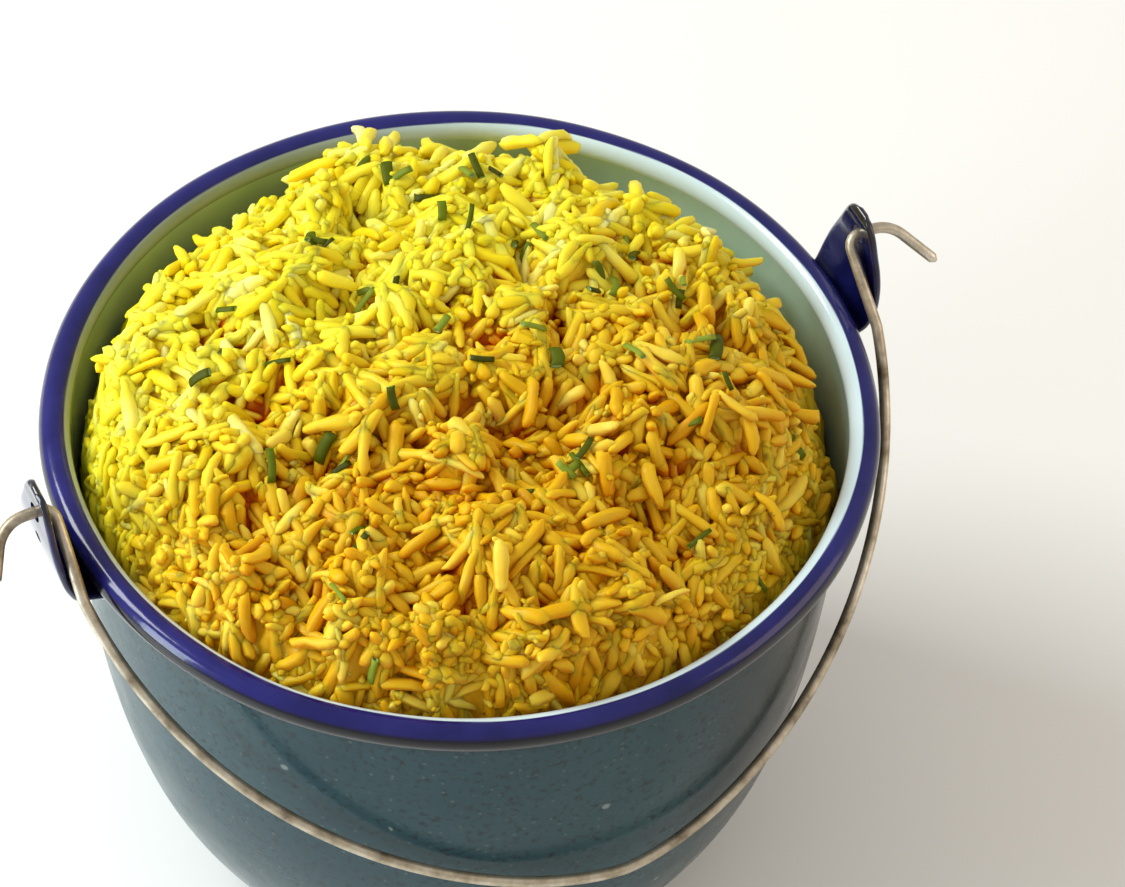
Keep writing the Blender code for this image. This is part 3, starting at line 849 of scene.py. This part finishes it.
def spotIn(reach, draw):
    # A random spot on a disc: its distance from the middle and its turn.
    return reach * math.sqrt(draw.random()), draw.uniform(0, fullTurn)


def spotsIn(reach, count, draw):
    # The same for several spots at once, given as their two coordinates.
    distances, turns = reach * np.sqrt(draw.random(count)), draw.uniform(0, fullTurn, count)
    return distances * np.cos(turns), distances * np.sin(turns)


def clumpField(x, y, draw):
    # Where the rice sticks together: the highest of many small domes, with sharp clefts between.
    # Also gives the direction in which each clump's grains mostly lie.
    field = np.zeros_like(x)
    direction = np.zeros_like(x)
    for _ in range(heap["clumps"]):
        distance, angle = spotIn(heap["radius"], draw)
        size = draw.uniform(*heap["clumpSize"])
        tall = draw.uniform(*heap["clumpHeight"])
        lie = draw.uniform(0, fullTurn)
        away = (x - distance * math.cos(angle)) ** 2 + (y - distance * math.sin(angle)) ** 2
        dome = tall * (1 - away / size**2)
        direction = np.where(dome > field, lie, direction)
        field = np.maximum(field, dome)
    return field, direction


def cellOf(value):
    return np.clip(((value + grid["half"]) / grid["cell"]).astype(int), 0, cellCount - 1)


def cellAt(x, y):
    return cellOf(np.array([x])), cellOf(np.array([y]))


def roomAt(z):
    # How far out rice may reach at a height: the pail's inside, or the rim's inner edge above it.
    depth = np.maximum(beadZ - z, 0.0)
    inside = wallRadius(depth) - pail["wall"]
    return np.minimum(inside, beadCircle - pail["beadRadius"]) - heap["gap"]


# Shares of a grain's length and radius at which it touches, and at which it covers, what is below.
restShares = np.linspace(-1, 1, 13)
leftOf, rightOf = np.meshgrid(np.arange(6), np.arange(7, 13), indexing="ij")
lanes = np.array([-0.55, 0.0, 0.55])
stampLines = np.linspace(-0.96, 0.96, 25), np.linspace(-0.9, 0.9, 7)
stampAlong, stampAcross = np.meshgrid(*stampLines, indexing="ij")


def cellsUnder(x, y, heading, along, across):
    # The cells under places along and across a grain.
    cos, sin = math.cos(heading), math.sin(heading)
    return cellOf(x + along * cos - across * sin), cellOf(y + along * sin + across * cos)


def restOn(levels, x, y, heading, length, radius):
    # A falling grain comes to rest on the two highest points on either side of its middle.
    along = restShares[:, None] * length / 2
    heights = levels[cellsUnder(x, y, heading, along, lanes * radius)].max(axis=1)
    flat = along[:, 0]
    span = flat[rightOf] - flat[leftOf]
    middle = (heights[leftOf] * flat[rightOf] - heights[rightOf] * flat[leftOf]) / span
    best = np.unravel_index(np.argmax(middle), middle.shape)
    slope = (heights[rightOf[best]] - heights[leftOf[best]]) / span[best]
    return middle[best], slope


def stamp(levels, x, y, z, heading, slope, length, radius):
    # Raises the height map to the grain's upper side.
    flat = length / 2 / math.sqrt(1 + slope**2)
    along = stampAlong * flat
    top = z + along * slope + radius * np.sqrt(1 - stampAcross**2 * 0.95)
    np.maximum.at(levels, cellsUnder(x, y, heading, along, stampAcross * radius), top)


def drawSize(draw):
    return draw.uniform(*grains["length"]), draw.uniform(*grains["width"]) / 2


def slopeAlong(slopes, cell, heading, most):
    slope = (slopes[0][cell] * math.cos(heading) + slopes[1][cell] * math.sin(heading))[0]
    return min(max(slope, -most), most)


def keepIn(kept, x, y, z, heading, tilt, length, radius, short=0.0):
    # Adds a grain, unless it would go through the pail's wall or stand out too far at the top.
    ends = np.array([-1, 1]) * length / 2
    flat = ends * math.cos(tilt)
    heights = z + ends * math.sin(tilt)
    out = np.hypot(x + flat * math.cos(heading), y + flat * math.sin(heading))
    tooHigh = heights.max() + radius > riceTop + grains["above"]
    if tooHigh or (out > roomAt(heights) - radius * 0.9).any():
        return False
    kept.append((x, y, z, heading, tilt, length, radius, short))
    return True


def settle(levels, target, steep, direction, draw):
    # Drops grains one by one where the heap is still low. Returns a row of numbers for each grain:
    # its middle, heading, tilt, length and radius, and whether it is a broken one.
    placed = []
    for _ in range(grains["tries"]):
        xs, ys = spotsIn(grains["reach"], grains["choice"], draw)
        cells = cellOf(xs), cellOf(ys)
        missing = target[cells] - levels[cells]
        best = int(np.argmax(missing))
        if missing[best] < grains["leastMissing"]:
            continue
        x, y = xs[best], ys[best]
        short = draw.random() < grains["shortShare"]
        length = draw.uniform(*grains["shortLength" if short else "length"])
        radius = draw.uniform(*grains["width"]) / 2
        heading = draw.uniform(0, fullTurn)
        if draw.random() < grains["alike"]:
            heading = direction[cells][best] + draw.normal(0, grains["alikeSpread"])
        middle, slope = restOn(levels, x, y, heading, length, radius)
        z = middle + radius * grains["stuck"]
        tooHigh = z > target[cells][best] + grains["mostOver"] * steep[cells][best]
        if abs(slope) > grains["steepest"] or tooHigh:
            continue
        if keepIn(placed, x, y, z, heading, math.atan(slope), length, radius, float(short)):
            stamp(levels, x, y, z, heading, slope, length, radius)
        if len(placed) >= grains["most"]:
            break
    return placed


def pushIn(levels, steep, draw):
    # Grains that stand at an angle, with the upper end a little out of the heap.
    standing = []
    while len(standing) < grains["standing"]:
        distance, turn = spotIn(grains["standingReach"], draw)
        length, radius = drawSize(draw)
        heading = draw.uniform(0, fullTurn)
        tilt = draw.uniform(*grains["standingTilt"])
        if distance > grains["nearWall"]:
            heading = turn + draw.uniform(-grains["nearTurn"], grains["nearTurn"])
            tilt = tilt - grains["nearTilt"]
        tipX, tipY = distance * math.cos(turn), distance * math.sin(turn)
        cell = cellAt(tipX, tipY)
        if draw.random() * mostSteep > steep[cell][0]:
            continue
        tipZ = levels[cell][0] + draw.uniform(*grains["standingOut"]) * steep[cell][0]
        flat = length / 2 * math.cos(tilt)
        x, y = tipX - flat * math.cos(heading), tipY - flat * math.sin(heading)
        keepIn(standing, x, y, tipZ - length / 2 * math.sin(tilt), heading, tilt, length, radius)
    return standing


def clingOn(levels, steep, draw):
    # Grains that cling half sunk to the heap's steep side and follow its slope.
    smooth = spread(levels, 3)
    slopes = np.gradient(smooth, grid["cell"])
    clinging = []
    while len(clinging) < grains["clinging"]:
        distance, turn = draw.uniform(*grains["clingingRing"]), draw.uniform(0, fullTurn)
        x, y = distance * math.cos(turn), distance * math.sin(turn)
        cell = cellAt(x, y)
        heading = turn + math.pi / 2 + draw.normal(0, grains["clingingTurn"])
        tilt = math.atan(slopeAlong(slopes, cell, heading, mostSteep))
        length, radius = drawSize(draw)
        z = smooth[cell][0] + draw.uniform(*grains["clingingOut"]) * steep[cell][0]
        keepIn(clinging, x, y, z, heading, tilt, length, radius)
    return clinging


def fillBare(rows, draw):
    # Looks for the barest of some random spots, lays a half-sunk grain there, and so on.
    covered = stickyTop.copy()
    for x, y, z, heading, tilt, length, radius, _ in rows:
        stamp(covered, x, y, z, heading, math.tan(tilt), length, radius)
    smooth = spread(spread(stickyTop, 2), 2)
    slopes = np.gradient(smooth, grid["cell"])
    near = np.arange(-grains["patch"], grains["patch"] + 1)
    filling = []
    while len(filling) < grains["filling"]:
        xs, ys = spotsIn(grains["fillingReach"], grains["fillingChoice"], draw)
        patch = cellOf(xs)[:, None, None] + near[:, None], cellOf(ys)[:, None, None] + near
        bare = (covered[patch] - stickyTop[patch] < grains["bareUnder"]).mean(axis=(1, 2))
        x, y = xs[np.argmax(bare)], ys[np.argmax(bare)]
        cell = cellAt(x, y)
        heading = draw.uniform(0, fullTurn)
        slope = slopeAlong(slopes, cell, heading, mostSteep) + draw.normal(0, grains["fillingTilt"])
        length, radius = drawSize(draw)
        z = smooth[cell][0] + draw.uniform(*grains["fillingOut"]) * steepness[cell][0]
        if keepIn(filling, x, y, z, heading, math.atan(slope), length, radius):
            stamp(covered, x, y, z, heading, slope, length, radius)
    return filling


def spread(field, cells):
    # Each cell's mean over the square of cells round it, by running sums in both directions.
    size = 2 * cells + 1
    for axis in (0, 1):
        edges = [(cells, cells) if way == axis else (0, 0) for way in (0, 1)]
        sums = np.cumsum(np.pad(field, edges, mode="edge"), axis=axis)
        sums = np.pad(sums, [(1, 0) if way == axis else (0, 0) for way in (0, 1)])
        count = sums.shape[axis]
        later, earlier = np.take(sums, range(size, count), axis), np.take(sums, range(count - size), axis)
        field = (later - earlier) / size
    return field


def pressIn(field, draw):
    # Half-sunk grains: each raises the sticky rice a little, along its slope.
    smooth = spread(spread(field, 2), 2)
    slopes = np.gradient(smooth, grid["cell"])
    for _ in range(heap["sunkGrains"]):
        distance, turn = spotIn(grains["reach"], draw)
        x, y = distance * math.cos(turn), distance * math.sin(turn)
        heading = draw.uniform(0, fullTurn)
        cell = cellAt(x, y)
        if draw.random() * mostSteep > steepness[cell][0]:
            continue
        slope = slopeAlong(slopes, cell, heading, heap["sunkSteepest"])
        radius = draw.uniform(*heap["sunkWidth"]) / 2
        z = smooth[cell][0] - radius + draw.uniform(*heap["sunkOut"]) * steepness[cell][0]
        stamp(field, x, y, z, heading, slope, draw.uniform(*heap["sunkLength"]), radius)


def showing(rows):
    # Which grains come out of the sticky rice, at either end or in the middle.
    rows = np.array(rows)
    share = np.array([-0.8, -0.4, 0.0, 0.4, 0.8])
    along = share * rows[:, 5:6] / 2
    flat = along * np.cos(rows[:, 4:5])
    x = rows[:, :1] + flat * np.cos(rows[:, 3:4])
    y = rows[:, 1:2] + flat * np.sin(rows[:, 3:4])
    top = rows[:, 2:3] + along * np.sin(rows[:, 4:5]) + rows[:, 6:7]
    return rows[(top > stickyTop[cellOf(x), cellOf(y)] + grains["leastShown"]).any(axis=1)]


# The heap's wanted height, how steep it is, and the grains that settle on it.
mostSteep = heap["mostSteep"]
clumpHeights, clumpLies = clumpField(gridX, gridY, np.random.default_rng(heap["seed"]))
form = beadZ + heapHeight(gridX, gridY)
wanted = form + clumpHeights - heap["clumpDrop"]
levels = wanted - heap["loose"]
formSlopes = np.gradient(form, grid["cell"])
steepness = np.minimum(np.sqrt(1 + formSlopes[0] ** 2 + formSlopes[1] ** 2), mostSteep)
fall = np.random.default_rng(grains["seed"])
lying = settle(levels, wanted, steepness, clumpLies, fall)

# The heap's mean height round each spot: some of it from a wide square, the rest from close by.
wideShare = heap["wideShare"]
meanLevels = spread(spread(levels, 9), 9) * wideShare + spread(levels, 3) * (1 - wideShare)

# The sticky rice between the grains, whose depth under their tops varies from place to place.
press = np.random.default_rng(heap["pressSeed"])
merged = spread(spread(press.random(levels.shape), 6), 6)
merged = np.clip((merged - np.median(merged)) / (4 * merged.std()) + 0.5, 0, 1)
stickyDepth = heap["sticky"][0] + (heap["sticky"][1] - heap["sticky"][0]) * merged
stickyTop = spread(spread(levels, 1), 1) - stickyDepth * steepness
pressIn(stickyTop, press)
stickyTop = spread(stickyTop, 1)

lyingThatShow = showing(lying)
standing = pushIn(levels, steepness, fall)
clinging = clingOn(levels, steepness, fall)
filling = fillBare(np.concatenate([lyingThatShow, clinging, standing]), fall)
placed = np.concatenate([lyingThatShow, clinging, filling, standing])
print("rice:", len(lying), "grains lie,", len(lyingThatShow), "of them show,", len(standing), "stand")
print("rice:", len(clinging), "cling to the side and", len(filling), "fill bare spots")


def heightAt(field, x, y):
    # A height map read between its cells, as a weighted mean of the four round each place.
    atX = np.clip((x + grid["half"]) / grid["cell"] - 0.5, 0, cellCount - 1.001)
    atY = np.clip((y + grid["half"]) / grid["cell"] - 0.5, 0, cellCount - 1.001)
    i, j = atX.astype(int), atY.astype(int)
    u, v = atX - i, atY - j
    low = field[i, j] * (1 - v) + field[i, j + 1] * v
    high = field[i + 1, j] * (1 - v) + field[i + 1, j + 1] * v
    return low * (1 - u) + high * u


def bedMesh():
    # Sticky rice between the grains, on a square grid bent into a disc: a point's distance out is
    # the larger of its two coordinates, and its turn follows the smaller one's share of that.
    count = heap["bedCells"]
    line = np.linspace(-1, 1, count + 1) + 1e-9
    a, b = np.meshgrid(line, line, indexing="ij")
    flatter = np.abs(a) >= np.abs(b)
    turns = np.where(flatter, b / a + 4 * (a < 0), 2 - a / b + 4 * (b < 0)) * math.pi / 4
    radii = np.maximum(np.abs(a), np.abs(b)) * roomAt(beadZ - heap["bedEdgeDepth"])
    x, y = radii * np.cos(turns), radii * np.sin(turns)
    height = heightAt(stickyTop, x, y)
    height = height + unevenness(np.stack([x, y, height], axis=-1))[..., 2]
    inside = np.minimum(1.0, (roomAt(height) - heap["bedGap"]) / np.maximum(radii, 0.001))
    top = np.stack([x * inside, y * inside, height], axis=-1).reshape(-1, 3)
    index = np.arange((count + 1) ** 2).reshape(count + 1, count + 1)
    ring = np.concatenate([index[:-1, 0], index[-1, :-1], index[:0:-1, -1], index[0, :0:-1]])
    # Under the edge: rings down along the pail's inside, and a flat bottom.
    side = sideProfile(pail["wall"] + heap["gap"], heap["bedSideDepth"])[::6]
    around = turns.reshape(-1)[ring]
    out, down = side[:, :1], side[:, 1:] + 0 * around
    sides = np.stack([out * np.cos(around), out * np.sin(around), down], axis=-1).reshape(-1, 3)
    first, pole = len(top), len(top) + len(sides)
    lower = np.arange(first, pole).reshape(len(side), -1)
    rings = np.concatenate([ring[None], lower])
    after = np.roll(rings, -1, axis=1)
    walls = np.stack([rings[:-1], rings[1:], after[1:], after[:-1]], axis=-1).reshape(-1, 4)
    cells = np.stack([index[:-1, :-1], index[1:, :-1], index[1:, 1:], index[:-1, 1:]], axis=-1)
    points = np.concatenate([top, sides, [[0, 0, float(side[-1, 1])]]])
    mesh = meshFrom("riceBed", points, [cells.reshape(-1, 4), walls, fanFaces(lower[-1], pole)])
    setAttribute(mesh, "tone", np.full(len(points), heap["bedTone"]))
    sunk = (heightAt(meanLevels, x, y) - height).reshape(-1) * 1000
    setAttribute(mesh, "sunk", np.append(sunk, np.full(len(points) - first, heap["sideSunk"])))
    return mesh


def unevenness(points):
    # A small shift of each point: the sum of waves that run in many directions.
    waves = np.random.default_rng(grains["seed"])
    shift = np.zeros_like(points)
    for _ in range(grains["waves"]):
        course = waves.normal(0, 1, 3)
        course = course / np.linalg.norm(course) * fullTurn / waves.uniform(*grains["waveLength"])
        push = waves.normal(0, 1, 3) * grains["waveHeight"]
        shift = shift + np.sin(points @ course + waves.uniform(0, fullTurn))[..., None] * push
    return shift


def rotated(a, b, angles):
    cos, sin = np.cos(angles)[:, None], np.sin(angles)[:, None]
    return a * cos - b * sin, a * sin + b * cos


def placeTubes(rings, half, aside, rows, roll):
    # Points and faces of many tubes, of which rings holds each one's own rings of points. Their
    # poles lie half forwards and back, and somewhat aside. Each tube is rolled, tilted and headed.
    count = len(rows)
    poles = np.zeros((count, 2, 3))
    poles[:, :, 0] = half[:, None] * [-1, 1]
    poles[:, :, 1] = aside[:, None]
    local = np.concatenate([rings.reshape(count, -1, 3), poles], axis=1)
    sideways, upwards = rotated(local[..., 1], local[..., 2], roll)
    forward, height = rotated(local[..., 0], upwards, rows[:, 4])
    x, y = rotated(forward, sideways, rows[:, 3])
    points = np.stack([rows[:, :1] + x, rows[:, 1:2] + y, rows[:, 2:3] + height], axis=-1)
    return points, copiedFaces(tubeFaces(*rings.shape[1:3]), points.shape[1], count)


def grainMesh(name, rows, draw, blunt):
    # All grains of one kind. Each is a tube whose width is the root of one less its place along to a
    # power, with its middle line bent to an arc, a flattened section and a shallow groove.
    count = len(rows)
    length, radius = rows[:, 5][:, None, None], rows[:, 6][:, None, None]
    u = np.array(grains["rings"])[None, :, None]
    v = np.arange(grains["sides"]) * fullTurn / grains["sides"]
    power = draw.uniform(*blunt, (count, 1, 1))
    swell = np.sqrt(np.clip(1 - np.abs(u) ** power, 0, 1))
    swell = swell * (1 + draw.uniform(-0.2, 0.2, (count, 1, 1)) * u)
    swell = swell * draw.normal(1, 0.06, (count, u.size, 1))
    flat = draw.uniform(0.74, 0.98, (count, 1, 1))
    groove = 1 + 0.06 * np.cos(2 * v + draw.uniform(0, 6, (count, 1, 1)))
    bend = draw.normal(0, 0.055, (count, 1, 1)) * length
    sway = draw.normal(0, 0.035, (count, 1, 1)) * length
    along = u * length / 2 + 0 * v
    sideways = radius * swell * groove * np.cos(v) + sway * (1 - u**2)
    upwards = radius * swell * groove * np.sin(v) * flat + bend * (1 - u**2)
    rings = np.stack([along, sideways, upwards], axis=-1)
    roll = draw.uniform(0, fullTurn, count)
    points, faces = placeTubes(rings, rows[:, 5] / 2, np.zeros(count), rows, roll)
    points = points + unevenness(points)
    mesh = meshFrom(name, points, faces)
    surface = meanLevels[cellOf(points[..., 0]), cellOf(points[..., 1])]
    tone = np.clip(draw.normal(0.55, 0.13, count), 0, 1)
    setAttribute(mesh, "tone", np.repeat(tone, points.shape[1]))
    setAttribute(mesh, "sunk", (surface - points[..., 2]) * 1000)
    return mesh


def riceShader(name, colours):
    # Moist, slightly see-through grains, their tone by grain. Painted shade: deeper gold towards the front
    # right and where they lie sunk, and orange-brown in hollows and on sides that face sideways.
    made = Nodes(name)
    place = made.place()
    cloud = made.math("MULTIPLY_ADD", made.noise(place, 120.0), 0.6, -0.3)
    tone = made.math("ADD", made.attribute("tone"), cloud)
    apart = made.axes(place)
    # How far a place lies from the back left towards the front right, in metres.
    across = made.math("MULTIPLY_ADD", apart["X"], 0.065, made.math("MULTIPLY", apart["Y"], -1.475))
    sunk = made.attribute("sunk")
    # Painted shade: the gold ramp takes over towards the front right, away from the key light, and where
    # grains lie sunk.
    shadedGold = made.math("ADD", made.range(across, -0.088, 0.046), made.range(sunk, -2.0, 1.6, -0.35, 0.35))
    shadedGold = made.range(shadedGold, 0.0, 1.0)
    colour = made.mix(shadedGold, made.ramp(tone, *colours["lemon"]), made.ramp(tone, *colours["shadedGold"]))
    # Painted shade: orange-brown in hollows and on sides that face sideways.
    facing = made.axes(made.add("ShaderNodeNewGeometry").outputs["Normal"])["Z"]
    most = made.math("MULTIPLY_ADD", shadedGold, 0.36, 0.28)
    sideways = made.math("MULTIPLY", made.range(facing, 0.8, -0.2), most)
    shade = made.math("ADD", made.range(sunk, -0.4, 1.7), sideways)
    colour = made.mix(made.range(shade, 0.0, 1.0, 0.0, 0.95), colour, colours["sunk"])
    made.shade({"Base Color": colour, "Subsurface Weight": 0.6, "Subsurface Scale": 0.0026})
    made.shade({"Subsurface Radius": (1.0, 0.75, 0.12), "Specular IOR Level": 0.14})
    made.shade({"Roughness": made.range(made.noise(place, 500.0), 0.3, 0.7, 0.30, 0.46)})
    made.bump(made.noise(place, 1500.0, 3.0), 0.22, 0.0002)
    return made.material


# The lemon ramp is the rice's lit colour; the gold ramp and the orange-brown sunk colour are painted shade.
riceColours = {
    "lemon": ((0.10, 228, 194, 14), (0.40, 238, 216, 30), (0.65, 244, 230, 66), (0.90, 248, 240, 142)),
    "shadedGold": ((0.10, 194, 118, 2), (0.40, 208, 141, 2), (0.65, 218, 160, 4), (0.90, 232, 196, 30)),
    "sunk": linear(194, 80, 2),
}
grainMaterial = riceShader("turmericRice", riceColours)
shapes = np.random.default_rng(grains["shapeSeed"])
isShort = placed[:, 7] > 0.5
order = np.arange(len(placed))
stands = order >= len(placed) - len(standing)
clings = (order >= len(lyingThatShow)) & ~stands
isUpright = stands & (placed[:, 4] > grains["upright"])


def addFood(name, mesh, material):
    addPiece(name, mesh, [material], "pail", ["rice"])


addFood("riceBed", bedMesh(), grainMaterial)
for name, rows, blunt in (
    ("riceLying", placed[~isShort & ~stands & ~clings], (3.4, 8.0)),
    ("riceClinging", placed[clings], (3.4, 8.0)),
    ("riceLeaning", placed[stands & ~isUpright], (3.0, 7.0)),
    ("riceUpright", placed[isUpright], (3.0, 7.0)),
    ("riceBroken", placed[isShort], (3.0, 6.0)),
):
    addFood(name, grainMesh(name, rows, shapes, blunt), grainMaterial)
print("rice")

# Cut chives: short flattened tubes with hollow ends, that lie on the rice

chives = {
    # across to the right, back, and how many: as seen from the front left, in millimetres
    "places": (
        (-14, 43, 5), (4, 44, 3), (-3, 31, 2), (-29, 24, 4), (13, 24, 4), (33, 25, 2), (26, 14, 3),
        (42, 13, 3), (-14, 14, 3), (-44, 8, 1), (-45, -2, 1), (-34, -5, 1), (-5, 1, 1), (13, 0, 1),
        (46, -1, 2), (32, -6, 1), (18, -7, 1), (4, -9, 1), (-49, -10, 1), (63, -12, 1), (50, -10, 1),
        (-12, -19, 1), (-22, -27, 3), (-50, -31, 1), (-35, -30, 1), (20, -30, 4), (12, -35, 1),
        (42, -19, 1), (58, -30, 1), (56, -41, 1), (45, -39, 1), (-19, -47, 2), (-21, -58, 1), (-15, -68, 1),
    ),
    "length": (0.0036, 0.0066),
    "radius": (0.00042, 0.00085),
    "flat": 0.55,
    "sides": 12,
    "lift": 0.0009,  # on top of the grains that fill bare spots
    "seed": 3,
}


def chiveRows(draw):
    rows = []
    for across, back, count in chives["places"]:
        for _ in range(count):
            x, y = fromView(across, back) + draw.normal(0, 0.0024 if count > 1 else 0.0005, 2)
            length = draw.uniform(*chives["length"])
            radius = draw.uniform(*chives["radius"]) * (1.5 if draw.random() < 0.25 else 1.0)
            heading = draw.uniform(0, fullTurn)
            middle, slope = restOn(levels, x, y, heading, length, radius)
            lift = radius * draw.uniform(-0.5, 0.6) + chives["lift"]
            tilt = math.atan(slope) + draw.normal(0, 0.15)
            rows.append((x, y, middle + lift, heading, tilt, length, radius))
    return np.array(rows)


def chiveMesh(rows, draw):
    # Rings along each piece: in from the hollow of one end, round its lip, along, and in again.
    hollow = 0.80  # how far out along it the bottom of each hollow end lies
    place = np.array([-hollow, -0.97, -1.0, -0.5, 0.0, 0.5, 1.0, 0.97, hollow])
    swell = np.array([0.55, 0.72, 1.0, 1.0, 1.03, 1.0, 1.0, 0.72, 0.55])
    count, around = len(rows), chives["sides"]
    turns = np.arange(around) * fullTurn / around
    length, radius = rows[:, 5][:, None, None], rows[:, 6][:, None, None]
    flat = chives["flat"] * draw.uniform(0.7, 1.3, (count, 1, 1))
    bend = draw.normal(0, 0.05, (count, 1, 1)) * length
    u = place[None, :, None]
    along = u * length / 2 + 0 * turns
    sideways = radius * swell[None, :, None] * np.cos(turns) + bend * (1 - u**2)
    upwards = radius * flat * swell[None, :, None] * np.sin(turns) * np.ones_like(along)
    rings = np.stack([along, sideways, upwards], axis=-1)
    aside = bend[:, 0, 0] * (1 - hollow**2)
    points, faces = placeTubes(rings, hollow * rows[:, 5] / 2, aside, rows, np.zeros(count))
    mesh = meshFrom("chives", points, faces)
    cut = np.concatenate([np.repeat(np.abs(place) * (swell < 0.9), around), [1, 1]])
    setAttribute(mesh, "cut", np.tile(cut, count))
    setAttribute(mesh, "tone", np.repeat(draw.random(count), points.shape[1]))
    return mesh


def chiveGreen():
    made = Nodes("chiveGreen")
    place = made.place()
    colour = made.ramp(made.attribute("tone"), (0.0, 58, 60, 1), (0.5, 92, 106, 3), (1.0, 140, 158, 50))
    colour = made.mix(made.range(made.attribute("cut"), 0.5, 0.9), colour, linear(150, 176, 110))
    made.shade({"Base Color": colour, "Roughness": 0.5, "Subsurface Weight": 0.2})
    made.shade({"Specular IOR Level": 0.15})
    made.shade({"Subsurface Scale": 0.0006, "Subsurface Radius": (0.8, 1.0, 0.1)})
    made.bump(made.noise(place, 1200.0, 2.0), 0.3, 0.0002)
    return made.material


garnish = np.random.default_rng(chives["seed"])
addFood("chives", chiveMesh(chiveRows(garnish), garnish), chiveGreen())
print("chives")

# The floor


def paleFloor():
    made = Nodes("paleFloor")
    made.shade({"Base Color": linear(240, 240, 238), "Roughness": 0.8})
    return made.material


floorHalf = 4
floorCorners = floorHalf * np.array([[-1, -1, 0], [1, -1, 0], [1, 1, 0], [-1, 1, 0]])
floorMesh = meshFrom("floor", floorCorners, [np.array([[0, 1, 2, 3]])])
floorMesh.materials.append(paleFloor())
floor = addObject("floor", floorMesh)
